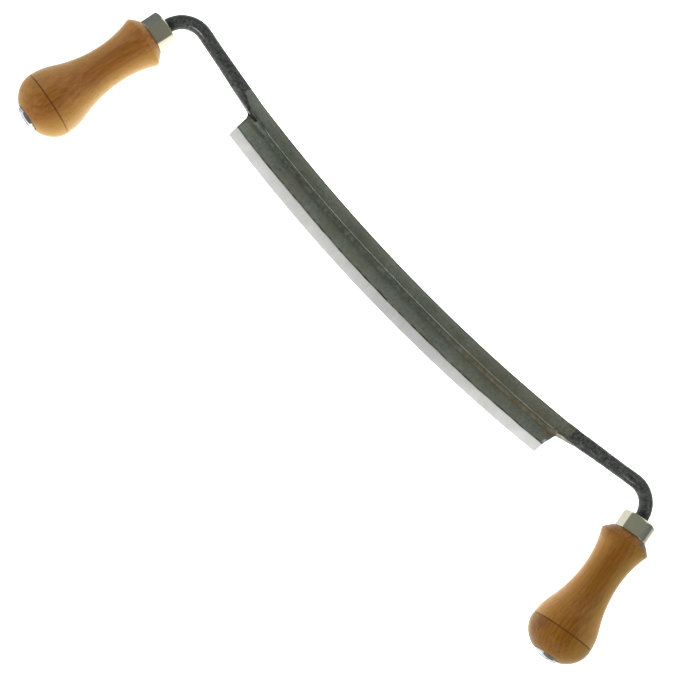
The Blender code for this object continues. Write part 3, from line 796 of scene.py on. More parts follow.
def oiled_wood(tones, name, part, sheen):
    """Oiled wood with growth rings round a far pith, fibres, pores and a burnt groove."""
    sheet = Finish(name + "_oiled_wood_" + part)
    light, dark, flank_highlight = (getattr(tones, f"{name}_wood_{tone}") for tone in ("light", "dark", "flank_highlight"))
    drawn_out = sheet.vector("MULTIPLY", sheet.place, (1.0, 1.0, 0.3))
    sway = sheet.add("TexNoise", {"Vector": drawn_out, "Scale": 34.0, "Detail": 2.0})
    shift = sheet.vector("SUBTRACT", sway.outputs["Color"], (0.5, 0.5, 0.5))
    swayed = sheet.vector("ADD", sheet.place, sheet.vector("MULTIPLY", shift, RING_SWAY))
    across = sheet.vector("MULTIPLY", swayed, (1.0, 1.0, 0.04))
    from_pith = sheet.add("VectorMath", {0: across, 1: (*PITHS[name], 0.0)}, operation="DISTANCE")
    ring = sheet.math("FRACT", sheet.math("DIVIDE", from_pith.outputs["Value"], RING_WIDTHS[name]))
    ring_end = sheet.math("SUBTRACT", 1.0, sheet.step(ring, 0.86, 1.0))
    late = sheet.times(sheet.step(ring, 0.10, 0.85), ring_end)
    fibres = sheet.effect("streaks", Stretch=(880.0, 880.0, 50.0))
    bands = sheet.effect("streaks", Stretch=(260.0, 260.0, 7.0))
    patches = sheet.effect("mottling", Scale=28.0)
    drawn = sheet.vector("MULTIPLY", sheet.place, (1.0, 1.0, 0.08))
    pores = sheet.effect("pits", Vector=drawn, Scale=1000.0, Size=0.28)
    end_grain = sheet.step(sheet.value_of("end_grain"), 0.3, 0.95)
    inward = sheet.value_of("inward")
    # Painted light: the inner side lighter, and the flanks painted towards a highlight colour
    inner_side = sheet.step(inward, 0.0, 0.9)
    off_middle = sheet.total((sheet.step(inward, 0.3, 0.9), 1.0), (sheet.step(inward, -0.3, -0.9), 0.45))
    handled = sheet.times(sheet.times(end_grain, off_middle), END_GRAIN[name])
    tone = sheet.total((late, 0.22), (fibres, 0.44), (bands, 0.3), (patches, 0.14), (handled, 1.0),
                       (inner_side, -0.5))
    wood = sheet.mix(light, dark, tone)
    inner_highlight, outer_highlight = FLANK_HIGHLIGHT_SHARE[name]
    painted_flank_light = sheet.total((sheet.step(inward, 0.2, 0.95), inner_highlight),
                         (sheet.step(inward, -0.1, -0.8), outer_highlight), (handled, -0.5))
    wood = sheet.mix(wood, flank_highlight, painted_flank_light)
    wood = sheet.mix(wood, dark, sheet.times(pores, 0.6))
    # The burnt groove, and the painted shade and shadow on the front dome
    burnt = sheet.value_of("burnt")
    wood = sheet.mix(wood, tones.burnt_and_shaded_wood, burnt)
    matt = sheet.math("SUBTRACT", 1.0, sheet.math("MAXIMUM", burnt, sheet.times(end_grain, 0.7)))
    oil = sheet.between(WOOD_SHINE[name], 0.6 * WOOD_SHINE[name], fibres)
    height = sheet.total((fibres, 0.4), (pores, -0.8))
    return sheet.dress(
        Base_Color=wood,
        Roughness=sheet.between(0.36, 0.52, fibres),
        Specular_IOR_Level=0.1,
        Coat_Weight=sheet.times(oil, matt),
        Coat_Roughness=0.22,
        Sheen_Weight=sheen,
        Sheen_Roughness=0.4,
        Sheen_Tint=SHEEN_TINT,
        Normal=sheet.bump(height, 0.00006, 0.6),
    )


def pale_floor(tone, glow):
    """Matt floor, a little uneven in tone, lit from below under the middle of the tool."""
    sheet = Finish("pale_studio_floor")
    patches = sheet.effect("mottling", Scale=3.0)
    worn = tuple(FLOOR_WEAR * part for part in tone)
    from_middle = sheet.add("VectorMath", {0: sheet.place}, operation="LENGTH").outputs["Value"]
    return sheet.dress(
        Base_Color=sheet.mix(worn, tone, patches),
        Roughness=0.9,
        Specular_IOR_Level=0.1,
        Emission_Color=sheet.mix(POOL_MIDDLE, POOL_EDGE, sheet.step(from_middle, *POOL_RADII)),
        Emission_Strength=glow,
    )


def bow(blade, x):
    """How far the bow carries the blade away from the user at a place along its chord."""
    return blade.bow_radius - math.sqrt(blade.bow_radius ** 2 - x ** 2)


def blade_width(blade):
    return blade.bevel_width + blade.hollow_width + blade.spine_width


def blade_outline(blade, ridge, ridge_round, cove, bevel_top, end_break):
    """Outline across the blade as (distance from the cutting edge, height) points."""
    width = blade_width(blade)
    soft = blade.corner_break
    height = blade.spine_height
    web = blade.web_thickness - end_break
    edge = blade.edge_thickness
    lip = blade.lip_round
    lip_fall = lip * (web - edge) / bevel_top
    climb = np.linspace(0.0, math.pi / 2, POINTS_IN["cove"], endpoint=False)
    cove_rise = height - ridge_round - web
    return np.vstack((
        line((ridge + ridge_round, height), (width - soft, height), POINTS_IN["top"]),
        arc((width - soft, height - soft), soft, 90.0, 0.0, POINTS_IN["back_upper"]),
        line((width, height - soft), (width, soft), POINTS_IN["back"]),
        arc((width - soft, soft), soft, 0.0, -90.0, POINTS_IN["back_lower"]),
        line((width - soft, 0.0), (edge + end_break, 0.0), POINTS_IN["under"]),
        line((edge + end_break, 0.0), (end_break, edge), POINTS_IN["edge"]),
        line((end_break, edge), (bevel_top - lip, web - lip_fall), POINTS_IN["bevel"]),
        line((bevel_top - lip, web - lip_fall), (bevel_top + lip, web), POINTS_IN["lip"]),
        line((bevel_top + lip, web), (ridge - cove, web), POINTS_IN["floor"]),
        np.column_stack((ridge - cove * (1 - np.sin(climb)), web + cove_rise * (1 - np.cos(climb)))),
        arc((ridge + ridge_round, height - ridge_round), ridge_round, 180.0, 90.0, POINTS_IN["ridge"]),
    ))


def bar_outline(half_width, half_height, corner, inner_corner, flatness):
    """Outline across a bar about its middle, its inner upper corner rounded or hammered flat."""
    wide = half_width - corner
    high = half_height - corner
    inner_points = sum(POINTS_IN[name] for name in INNER_SIDE)
    flat_start = (-half_width, half_height - inner_corner)
    flat_end = (-half_width + inner_corner, half_height)
    rounded = arc((flat_end[0], flat_start[1]), inner_corner, 180.0, 90.0, POINTS_IN["ridge"])
    hammered = line(flat_start, flat_end, POINTS_IN["ridge"])
    return np.vstack((
        line(flat_end, (wide, half_height), POINTS_IN["top"]),
        arc((wide, high), corner, 90.0, 0.0, POINTS_IN["back_upper"]),
        line((half_width, high), (half_width, -high), POINTS_IN["back"]),
        arc((wide, -high), corner, 0.0, -90.0, POINTS_IN["back_lower"]),
        line((wide, -half_height), (-wide, -half_height), POINTS_IN["under"]),
        arc((-wide, -high), corner, -90.0, -180.0, POINTS_IN["edge"]),
        line((-half_width, -high), flat_start, inner_points),
        rounded + (hammered - rounded) * flatness,
    ))


def rod_outline(radius):
    """A circle whose points keep step with those of the blade's outline."""
    starts = [start for name, count, start in STRETCHES]
    ends = starts[1:] + [starts[0] - 360.0]
    counts = POINTS_IN.values()
    return np.vstack([arc((0.0, 0.0), radius, *span) for span in zip(starts, ends, counts)])


def blade_stations(blade):
    """Places along the chord, closer together just inside the end cuts."""
    half = blade.cut_length / 2
    count = round(blade.cut_length / BLADE_STEP)
    inside = half - blade.end_break
    return np.concatenate(([-half], np.linspace(-inside, inside, count), [half]))


def waver(x):
    """Slow wandering of a hand-ground line, with a quicker one on top."""
    slow = noise.noise(Vector((x / LONG_WAVER, WAVER_SEED, 0.0)))
    quick = noise.noise(Vector((x / SHORT_WAVER, WAVER_SEED, 7.0)))
    return slow + 0.5 * quick


def end_offset(blade, name, across):
    """How far past the plain end cut each point of an outline lies at one end of the blade."""
    at_edge = of_side(blade.end_edge, name)
    at_shoulder = of_side(blade.end_shoulder, name)
    shoulder = blade.bevel_width + blade.hollow_width - blade.cove
    share = np.clip((across - blade.bevel_width) / (shoulder - blade.bevel_width), 0.0, 1.0)
    return (at_edge + (at_shoulder - at_edge) * share) * (1 - eased((across - shoulder) / blade.cove))


def point_values(**stretches):
    """Values round the blade's outline: those given for a stretch, 0 elsewhere."""
    values = np.zeros(len(STRETCH_OF_POINT))
    for name, given in stretches.items():
        values[STRETCH_OF_POINT == name] = given
    return values


def leading(name, *values):
    """Values for the first points of a stretch, 0 for the rest of it."""
    return np.pad(values, (0, POINTS_IN[name] - len(values)))


def trailing(name, *values):
    """Values for the last points of a stretch, 0 for the rest of it."""
    return np.pad(values, (POINTS_IN[name] - len(values), 0))


def spread(name, *marks):
    """Values for the points of a stretch, run evenly between (share of its length, value) marks."""
    return np.interp(np.linspace(0.0, 1.0, POINTS_IN[name]), *zip(*marks))


def spine_tarnish():
    """Tarnish on the spine, on its top darkest beside the ridge and along the back."""
    return point_values(top=spread("top", (0.0, 0.85), (0.12, 0.55), (0.4, 0.42), (0.7, 0.30), (0.9, 0.0)),
                        back_upper=spread("back_upper", (0.0, 0.4), (0.4, 0.9), (1.0, 0.7)),
                        back=0.7, back_lower=0.7, under=0.5)


def add_blade(skin, blade):
    """The ground blade from end cut to end cut."""
    half = blade.cut_length / 2
    on_spine = spine_tarnish()
    on_floor = point_values(
        floor=spread("floor", (0.2, 0.0), (0.45, 0.16), (0.7, 0.22), (0.85, 0.38), (1.0, 0.55)))
    in_cove = point_values(
        cove=spread("cove", (0.0, 0.6), (0.3, 0.98), (0.5, 0.92), (0.8, 0.62), (1.0, 0.4)))
    stained = point_values(top=0.1, floor=0.16)
    soft_tarnish = point_values(top=leading("top", 0.9, 0.7, 0.5), ridge=1.1)
    # Painted highlight along the ridge
    painted_ridge_highlight = point_values(ridge=RIDGE_HIGHLIGHT)
    # Painted shade along the top of the bevel, and in the crack at the left end
    shaded_bevel_top = point_values(lip=0.75, floor=leading("floor", 0.75, 0.5, 0.12))
    cracked = point_values(
        cove=trailing("cove", 0.5, 1.0, 1.3, 1.3, 1.3, 1.3, 1.3), ridge=leading("ridge", 0.9, 0.4))
    chipped = point_values(
        floor=spread("floor", (0.0, 0.0), (0.12, 1.0), (0.35, 1.3), (0.55, 1.0), (0.65, 0.0)))
    honed = point_values(edge=1.0, bevel=np.linspace(1.0, 0.0, POINTS_IN["bevel"]))
    rings = []
    tarnish = []
    burr = []
    chips = []
    for x in blade_stations(blade):
        name = "left" if x < 0 else "right"
        to_end = half - abs(x)
        to_tip = abs(x) / half
        soft = eased(3 - 2 * to_end / of_side(blade.soft_end, name))
        ridge = blade.bevel_width + blade.hollow_width - of_side(blade.ridge_drift, name) * to_tip
        ridge_round = blend(blade.ridge_round, blade.end_ridge_round, soft)
        cove = blend(blade.cove, blade.end_cove, soft)
        bevel_top = blade.bevel_width + blade.bevel_waver * waver(x) - blade.bevel_taper * x / half
        end_break = blade.end_break if to_end < blade.end_break / 2 else 0.0
        across, height = blade_outline(blade, ridge, ridge_round, cove, bevel_top, end_break).T
        shift = end_offset(blade, name, across) * eased(1 - to_end / END_SHAPE_LENGTH)
        rings.append(np.column_stack((x + math.copysign(1.0, x) * shift, bow(blade, x) + across, height)))

        rusty = eased(x / half)
        worn_floor = on_floor * (1 - 0.6 * to_tip ** 2) * (1 - 0.5 * rusty)
        worn = worn_floor + in_cove * (1 + 0.05 * rusty) + stained * rusty
        tarnish.append(np.maximum(on_spine + worn, soft_tarnish * soft))
        crack = eased((LEFT_CRACK_LENGTH - to_end) / CRACK_FADE) if name == "left" else 0.0
        burr.append(np.maximum(shaded_bevel_top * (SHADE_LINE_MIDDLE + SHADE_LINE_SLOPE * x / half), cracked * crack))
        at_end = chipped * np.clip(1.5 - to_end / CHIP_LENGTH, 0.0, 1.0) * END_CHIPS[name]
        chips.append(np.maximum(at_end, painted_ridge_highlight * (1 - soft)))
    finish = np.where(np.isin(STRETCH_OF_POINT, ("edge", "bevel")), BEVEL, STEEL)
    finish = np.broadcast_to(finish, (len(rings) - 1, len(finish)))
    skin.add_loft(rings, finish=finish, ground=GROUND_ALL_OVER, burr=burr, tarnish=tarnish, chips=chips,
                  honed=honed)


def root_centre(settings):
    """Middle of the right tang where it leaves the end of the blade, flush with the spine's back."""
    blade = settings.blade
    half = blade.cut_length / 2
    back = bow(blade, half) + blade_width(blade)
    return np.array((half, back - settings.tang.root_width / 2, blade.spine_height / 2))


def bend_turn(settings):
    return math.pi / 2 + settings.tang.rise - settings.handle.splay


def straight_length(settings):
    """Length of the tang from the end cut to the start of its bend."""
    return settings.tang.length - settings.tang.bend_radius * math.tan(bend_turn(settings) / 2)


def heading_at(angle):
    return np.array((math.cos(angle), math.sin(angle), 0.0))


def outward(heading):
    """Direction in the plane of the blade that points out of the bend."""
    return np.array((-heading[1], heading[0], 0.0))


def bar_ring(outline, centre, heading):
    up = np.array((0.0, 0.0, 1.0))
    return centre + np.outer(outline[:, 0], outward(heading)) + np.outer(outline[:, 1], up)


def tang_outline(settings, along):
    """Outline of the tang at a length from the end cut: ground root, hammered bar, round rod."""
    tang = settings.tang
    blade = settings.blade
    half_width = tang.root_width / 2
    half_height = blade.spine_height / 2
    rod = tang.rod_diameter / 2
    root = bar_outline(half_width, half_height, blade.corner_break, blade.ridge_round, 0.0)
    middle = (half_height + rod) / 2
    forged = bar_outline((half_width + rod) / 2, middle, tang.forged_corner, tang.hammered_flat,
                         FORGED_FLATNESS)
    if along < tang.forged_after:
        return blend(root, forged, along / tang.forged_after)
    share = (along - tang.forged_after) / (tang.round_after - tang.forged_after)
    return blend(forged, rod_outline(rod), share)


def ground_reach(tang, name, outline, along):
    """How far each point of a ring lies inside the ground tongue at the root of a tang."""
    tongue_back = of_side(tang.tongue_back, name)
    tongue_front = of_side(tang.tongue_front, name)
    across = outline[:, 0] / tang.root_width
    to_back = np.clip((across - TONGUE_FRONT) / (TONGUE_BACK - TONGUE_FRONT), 0.0, 1.0)
    return tongue_front + (tongue_back - tongue_front) * to_back - along


def glint(tang, name, outline, past_bend):
    """How strongly each point of a ring takes the painted highlight on the inner upper flank near the bend.
    """
    near = math.exp(-((past_bend - of_side(tang.glint, name)) / tang.glint_length) ** 2)
    turns = np.arctan2(outline[:, 1], outline[:, 0])
    return near * np.exp(-((turns - GLINT_ANGLE) / GLINT_SPREAD) ** 2)


def hammer(rings, ground, depth):
    """Press shallow hammer marks into the part of a bar that forge scale covers."""
    middle = rings.mean(axis=1, keepdims=True)
    inward = middle - rings
    inward /= np.linalg.norm(inward, axis=2, keepdims=True)
    marks = np.zeros(rings.shape[:2])
    for place in np.ndindex(marks.shape):
        point = Vector(rings[place])
        marks[place] = 0.5 + 0.3 * noise.noise(point / BROAD_MARKS) + 0.2 * noise.noise(point / FINE_MARKS)
    fade = eased(-ground / MARKS_FADE)
    return rings + inward * (marks * fade * depth)[:, :, None]


def tang_stations(settings):
    """Length past the end cut, outline, centre and heading of each ring of a right-hand tang."""
    tang = settings.tang
    straight = straight_length(settings)
    root = root_centre(settings)
    heading = heading_at(tang.rise)
    yield 0.0, tang_outline(settings, 0.0), root, heading_at(0.0)
    for along in np.linspace(FIRST_TANG_STEP, straight, round(straight / TANG_STEP)):
        yield along, tang_outline(settings, along), root + heading * along, heading
    bend_centre = root + heading * straight - outward(heading) * tang.bend_radius
    rod = rod_outline(tang.rod_diameter / 2)
    bend_length = tang.bend_radius * bend_turn(settings)
    for past_bend in np.linspace(0.0, bend_length, round(bend_length / TANG_STEP))[1:]:
        swung = heading_at(tang.rise - past_bend / tang.bend_radius)
        yield straight + past_bend, rod, bend_centre + outward(swung) * tang.bend_radius, swung


def add_tang(skin, settings, name, mirror):
    """A tang from the end cut to the inner face of the collar."""
    tang = settings.tang
    straight = straight_length(settings)
    whole = straight + tang.bend_radius * bend_turn(settings)
    rings = []
    ground = []
    rubbed = []
    painted_tang_shade = []
    for along, outline, centre, heading in tang_stations(settings):
        rings.append(bar_ring(outline, centre, heading))
        ground.append(ground_reach(tang, name, outline, along))
        # Painted highlight on the inner upper flank near the bend
        rubbed.append(glint(tang, name, outline, along - straight))
        # Painted shade: darker outer and inner flanks on the rod, and a painted shadow next to the collar
        off_middle = 3 * outline[:, 0] / tang.rod_diameter
        on_rod = eased((along - 0.5 * straight) / FLANK_SHADE_FADE)
        outer = OUTER_FLANK_SHADE * np.clip(off_middle, 0.0, 1.0) * on_rod
        inner = INNER_FLANK_SHADE[name] * np.clip(-off_middle, 0.0, 1.0)
        painted_tang_shade.append(np.maximum(outer + inner, eased(1 - (whole - along) / COLLAR_SHADOW_LENGTH)))
    rings = hammer(np.array(rings), np.array(ground), tang.hammering)
    skin.add_loft(rings * mirror, ground=ground, rubbed=rubbed, burr=painted_tang_shade,
                  tarnish=np.maximum(spine_tarnish(), TONGUE_TARNISH[name]))


def add_stud(skin, settings, plan, mirror):
    """The rod inside the collar and the stud up to its chamfered end, with a cut thread."""
    tang = settings.tang
    hardware = settings.hardware
    heading = heading_at(settings.handle.splay - math.pi / 2)
    collar = np.array(collar_centre(settings, 1))
    radius = tang.stud_diameter / 2
    circle = rod_outline(1.0)
    rod = [bar_ring(circle * tang.rod_diameter / 2, collar + heading * along, heading)
           for along in (-hardware.collar_from_bend, hardware.collar_height)]
    skin.add_loft(np.array(rod) * mirror, ground=-GROUND_ALL_OVER)
    turns = np.arctan2(circle[:, 1], circle[:, 0]) / math.tau
    end = plan.stud_end
    thread_start = end - tang.threaded_length
    rings = [bar_ring(circle * radius, collar + heading * along, heading)
             for along in (hardware.collar_height, thread_start)]
    for along in np.arange(thread_start, end, THREAD_STEP)[1:]:
        phase = (along / tang.thread_pitch - turns) % 1.0
        tooth = tang.thread_depth * np.abs(2 * phase - 1)
        crest = radius - np.maximum(tooth, along - end + tang.stud_chamfer)
        rings.append(bar_ring(circle * crest[:, None], collar + heading * along, heading))
    rings.append(bar_ring(circle * (radius - tang.stud_chamfer), collar + heading * end, heading))
    skin.add_loft(np.array(rings) * mirror, finish=STUD, ground=GROUND_ALL_OVER)


def add_shoulder(skin, settings, name, mirror):
    """Web in the inner corner between an end cut and its tang, with a foot that slopes off the tang."""
    blade = settings.blade
    root = root_centre(settings)
    heading = heading_at(settings.tang.rise)[:2]
    inner_side = root[:2] - (0.0, settings.tang.root_width / 2)
    foot = of_side(blade.foot_width, name)
    corner = inner_side + heading * of_side(blade.end_shoulder, name) - (0.0, foot)
    start = corner - (0.0, of_side(blade.fillet_down, name))
    finish = corner + heading * of_side(blade.fillet_along, name)
    tip = inner_side + heading * of_side(blade.foot_length, name)
    hidden = corner[0] - 5 * blade.end_break
    fillet = curve(start, corner, finish, CURVE_POINTS)
    outline = np.vstack(([(hidden, root[1]), (hidden, start[1])], fillet, [tip, (tip[0], root[1])]))
    inset = np.zeros_like(outline)
    inset[2:-1] = np.array((-0.25, 1.0)) * max(foot, 2 * blade.end_break)
    web = blade.web_thickness
    levels = ((outline, 0.0), (outline, web - of_side(blade.foot_slope, name)), (outline + inset, web))
    rings = [np.column_stack((flat, np.full(len(flat), height))) for flat, height in levels]
    # Painted shade in the inner corner, darkened and tarnished
    skin.add_loft(np.array(rings) * mirror, ground=GROUND_ALL_OVER, burr=SHOULDER_SHADE[name],
                  tarnish=SHOULDER_SHADE[name])


def collar_centre(settings, side):
    """Middle of the outer face of a collar, just past the end of the bend."""
    tang = settings.tang
    corner = root_centre(settings) + heading_at(tang.rise) * tang.length
    past_corner = tang.length - straight_length(settings) + settings.hardware.collar_from_bend
    centre = corner + heading_at(settings.handle.splay - math.pi / 2) * past_corner
    return Vector((side * centre[0], centre[1], centre[2]))


def handle_matrix(settings, side, place=0.0):
    """A handle's own frame at a place along it: Z from collar to butt, Y up out of the tool."""
    splay = settings.handle.splay
    along = Vector((side * math.sin(splay), -math.cos(splay), 0.0))
    up = Vector((0.0, 0.0, 1.0))
    turn = Matrix((up.cross(along), up, along)).transposed().to_4x4()
    collar = Matrix.Translation(collar_centre(settings, side))
    return tool_matrix() @ collar @ turn @ Matrix.Translation((0.0, 0.0, place))


class HandlePlan:
    """Places along a handle's axis, counted from the outer face of its collar, and its radii."""

    def __init__(self, settings):
        handle = settings.handle
        hardware = settings.hardware
        gap = hardware.fit_gap
        self.bore = settings.tang.stud_diameter / 2 + gap
        self.seat_radius = hardware.collar_flats / 2 / math.cos(math.pi / 6) + handle.seat_land
        self.rim_radius = handle.rim_diameter / 2
        self.neck_radius = handle.neck_diameter / 2
        self.bulb_radius = handle.bulb_diameter / 2
        self.counterbore = hardware.washer_diameter / 2 + hardware.bore_clearance
        self.butt_radius = self.counterbore + handle.butt_land
        self.butt_turn = math.acos(self.butt_radius / self.bulb_radius)
        self.seat = hardware.collar_height + gap
        self.rim = self.seat + handle.dome_height
        self.neck = self.rim + handle.rim_to_neck
        self.bulb = self.neck + handle.neck_to_bulb
        self.butt = self.bulb + handle.butt_round * math.sin(self.butt_turn)
        nut_sunk = hardware.nut_height - hardware.nut_proud
        self.floor = self.butt - (gap + hardware.washer_thickness + gap + nut_sunk)
        self.washer = self.floor + gap
        self.nut = self.washer + hardware.washer_thickness + gap
        self.stud_end = self.nut + hardware.nut_height - hardware.stud_short


def arc_radius(run, rise):
    """Radius of an arc that leaves level and climbs a rise over a run."""
    return (run * run + rise * rise) / (2 * rise)


def arc_rise(radius, run):
    """Climb of a level-starting arc after a run."""
    return radius - math.sqrt(radius * radius - run * run)


def grip_radius(handle, plan, along):
    """Handle radius past the neck: a hollow arc that flows into the bulb, then the round of the butt."""
    run = handle.neck_to_bulb
    if along > run:
        return plan.bulb_radius * math.sqrt(1 - ((along - run) / handle.butt_round) ** 2)
    both_arcs = arc_radius(run, plan.bulb_radius - plan.neck_radius)
    if along < run * handle.hollow_share:
        return plan.neck_radius + arc_rise(both_arcs * handle.hollow_share, along)
    return plan.bulb_radius - arc_rise(both_arcs * (1 - handle.hollow_share), run - along)


def softened(before, corner, after, reach, count=6):
    """Points that round a corner of a profile off."""
    before, corner, after = (np.array(point) for point in (before, corner, after))
    start = corner + (before - corner) / np.linalg.norm(before - corner) * reach
    end = corner + (after - corner) / np.linalg.norm(after - corner) * reach
    return curve(start, corner, end, count)


def handle_profile(handle, plan, groove, rim_soften):
    """Closed outline of a handle, with a groove at a length past its neck, as (radius, place) points."""
    soft = handle.edge_soften
    slope = np.array((plan.rim_radius - plan.seat_radius, handle.dome_height))
    shares = np.linspace(0.0, 1.0, DOME_POINTS)[:, None]
    off_cone = np.array((slope[1], -slope[0])) / np.linalg.norm(slope)
    bulge = off_cone * handle.dome_bulge * 4 * shares * (1 - shares)
    dome = (plan.seat_radius, plan.seat) + slope * shares + bulge
    neck_arc = arc_radius(handle.rim_to_neck, plan.rim_radius - plan.neck_radius)
    neck = [(plan.neck_radius + arc_rise(neck_arc, back), plan.neck - back)
            for back in np.linspace(handle.rim_to_neck, 0.0, NECK_POINTS)]
    rim_edge = softened(dome[-4], dome[-1], neck[2], rim_soften, RIM_POINTS)
    notch = handle.groove_width / 2
    stations = np.unique(np.round(np.concatenate((
        np.linspace(0.0, handle.neck_to_bulb, SWELL_POINTS)[1:],
        handle.neck_to_bulb + handle.butt_round * np.sin(np.linspace(0.0, plan.butt_turn, BUTT_POINTS)),
        groove + notch * np.linspace(-1.5, 1.5, GROOVE_POINTS))), 5))
    grip = []
    for along in stations:
        cut = handle.groove_depth * max(0.0, 1 - ((along - groove) / notch) ** 2)
        grip.append((grip_radius(handle, plan, along) - cut, plan.neck + along))
    mouth_edge = softened(grip[-1], (plan.counterbore, plan.butt), (plan.counterbore, plan.floor), soft)
    return np.vstack((
        [(plan.bore, plan.seat), (plan.seat_radius - soft, plan.seat)],
        dome[:-3], rim_edge, neck[2:], grip, mouth_edge,
        [(plan.counterbore, plan.floor), (plan.bore, plan.floor)],
    ))


def turned_rings(profile):
    """Rings of a profile of (radius, height) points turned about the local Z axis."""
    turns = np.linspace(0.0, math.tau, HANDLE_SIDES, endpoint=False)
    circle = np.column_stack((np.cos(turns), np.sin(turns)))
    return np.array([np.column_stack((circle * radius, np.full(HANDLE_SIDES, height)))
                     for radius, height in profile])


def hexagon(flats, corner_round, turn):
    """Points round a hexagon from its corner on local Y, how near each is to a corner, and its normal."""
    rounded_at = (flats / 2 - corner_round) / math.cos(math.pi / 6)
    points = []
    near_corner = []
    normals = []
    for corner in range(6):
        middle = turn + math.pi / 2 + corner * math.pi / 3
        centre = rounded_at * heading_at(middle)[:2]
        next_centre = rounded_at * heading_at(middle + math.pi / 3)[:2]
        for share in np.linspace(-1.0, 1.0, CORNER_POINTS):
            normals.append(middle + share * math.pi / 6)
            points.append(centre + corner_round * heading_at(normals[-1])[:2])
            near_corner.append(1.0)
        off_flat = corner_round * heading_at(middle + math.pi / 6)[:2]
        for share in np.linspace(0.0, 1.0, FLAT_POINTS)[1:-1]:
            normals.append(middle + math.pi / 6)
            points.append(centre + (next_centre - centre) * share + off_flat)
            near_corner.append(abs(2 * share - 1) ** 6)
    return np.array(points), np.array(near_corner), np.array(normals)


def nut_skin(hardware, flats, height, bore, turn, both_ends=True, inner_way=0, shine=NO_PAINTED_LIGHT):
    """Hexagon nut with a countersunk bore, turned to a chamfer at one end or both."""
    outline, near_corner, normals = hexagon(flats, hardware.corner_round, turn)
    radii = np.linalg.norm(outline, axis=1)
    rays = outline / radii[:, None]
    face = flats / 2 * hardware.chamfer_circle
    drop = (radii - face) * math.tan(hardware.chamfer_angle)
    sink = hardware.countersink
    band = hardware.corner_round
    level = np.zeros(len(radii))
    # Each ring of an end, from the bore outwards: its points, their depth and how far they are rubbed
    turned_end = [
        (rays * bore, level + sink, level),
        (rays * (bore + sink), level, level + 0.6),
        (rays * (face - band), level, level + 0.1),
        (rays * face, level, level + 0.8),
        (outline, drop, level + 1.0),
        (outline, drop + band, near_corner * 0.2),
        (outline, drop + 4 * band, level),
    ]
    plain_end = [
        (rays * bore, level + sink, level),
        (rays * (bore + sink), level, level),
        (outline - rays * band / 3, level, level + 0.8),
        (outline, level + band / 3, level + 0.8),
        (outline, level + 4 * band, level),
    ]
    far_end = turned_end if both_ends else plain_end
    rows = turned_end + [(flat, height - rise, edge) for flat, rise, edge in reversed(far_end)]
    skin = Skin()
    # On the collars, painted light: how bright each facet is painted, by its place across the collar
    skin.add_loft([np.column_stack((flat, rise)) for flat, rise, edge in rows], closed=True,
                  edge=[edge for flat, rise, edge in rows], inward=inner_way * np.cos(normals),
                  shine=np.interp(inner_way * outline[:, 0] / flats, PAINTED_LIGHT_PLACES, shine))
    return skin


def make_blade(settings):
    """Blade, tangs, studs and shoulders, which are one forging."""
    plan = HandlePlan(settings)
    skin = Skin()
    add_blade(skin, settings.blade)
    for name, side in SIDES:
        mirror = np.array((side, 1.0, 1.0))
        add_tang(skin, settings, name, mirror)
        add_stud(skin, settings, plan, mirror)
        add_shoulder(skin, settings, name, mirror)
    tones = settings.finish
    finishes = (ground_steel(tones), bevel_steel(tones), stud_steel(tones))
    put_piece("forged_blade", skin, finishes, tool_matrix(), "blade")


def handle_marks_and_shade(handle, plan, name, profile, groove, inward):
    """Front dome, end grain, burnt groove and painted shade on the dome of a handle, as point values."""
    place = profile[:, 1:]
    along = np.roll(profile, -1, axis=0) - np.roll(profile, 1, axis=0)
    across_grain = np.abs(along[:, :1]) / np.linalg.norm(along, axis=1, keepdims=True)
    handled = np.maximum(place > plan.neck + groove, 1 - (place - plan.rim) / HANDLED_LENGTH)
    end_grain = np.maximum(across_grain, HANDLED_SHARE * np.clip(handled, 0.0, 1.0))
    on_dome = np.clip((plan.rim - place) / handle.dome_height, 0.0, 1.0)
    inner_shade, outer_shade = DOME_SHADE[name]
    # Painted shade on the outer side of the front dome, and a painted shadow next to the collar
    outer = outer_shade * eased((-inward - 0.1) / 0.6) * on_dome ** 0.4
    painted_dome_shade = np.maximum(COLLAR_GAP_SHADOW * on_dome ** 6, np.maximum(outer, inner_shade * on_dome))
    off_groove = np.abs(place - plan.neck - groove) / (handle.groove_width / 2)
    wire = np.clip(WIRE_REACH - off_groove, 0.0, WIRE_BURN) * (1 - WIRE_FADE[name] * eased(inward))
    return on_dome, end_grain, np.maximum(wire, painted_dome_shade)


def make_handles(settings):
    """Two turned handles."""
    handle = settings.handle
    plan = HandlePlan(settings)
    for name, side in SIDES:
        groove = handle.neck_to_bulb - of_side(handle.groove, name)
        profile = handle_profile(handle, plan, groove, of_side(handle.rim_soften, name))
        rings = turned_rings(profile)
        inward = -side * rings[:, :, 0] / profile[:, :1]
        on_dome, end_grain, burnt = handle_marks_and_shade(handle, plan, name, profile, groove, inward)
        skin = Skin()
        skin.add_loft(rings, closed=True, finish=np.where(on_dome > 0, FRONT, GRIP), end_grain=end_grain,
                      inward=inward, burnt=burnt)
        woods = (oiled_wood(settings.finish, name, "grip", GRIP_SHEEN),
                 oiled_wood(settings.finish, name, "front", FRONT_SHEEN[name]))
        put_piece(name + "_turned_handle", skin, woods, handle_matrix(settings, side),
                  name + "_handle")


def make_collars(settings):
    """Two hexagon collars between the bends and the wood."""
    hardware = settings.hardware
    plate = plated_steel(settings.finish)
    bore = settings.tang.rod_diameter / 2 + hardware.fit_gap
    for name, side in SIDES:
        skin = nut_skin(hardware, hardware.collar_flats, hardware.collar_height, bore,
                        of_side(hardware.collar_turn, name), False, -side, COLLAR_PAINTED_LIGHT[name])
        put_piece(name + "_hexagon_collar", skin, (plate,), handle_matrix(settings, side),
                  name + "_collar_nut")


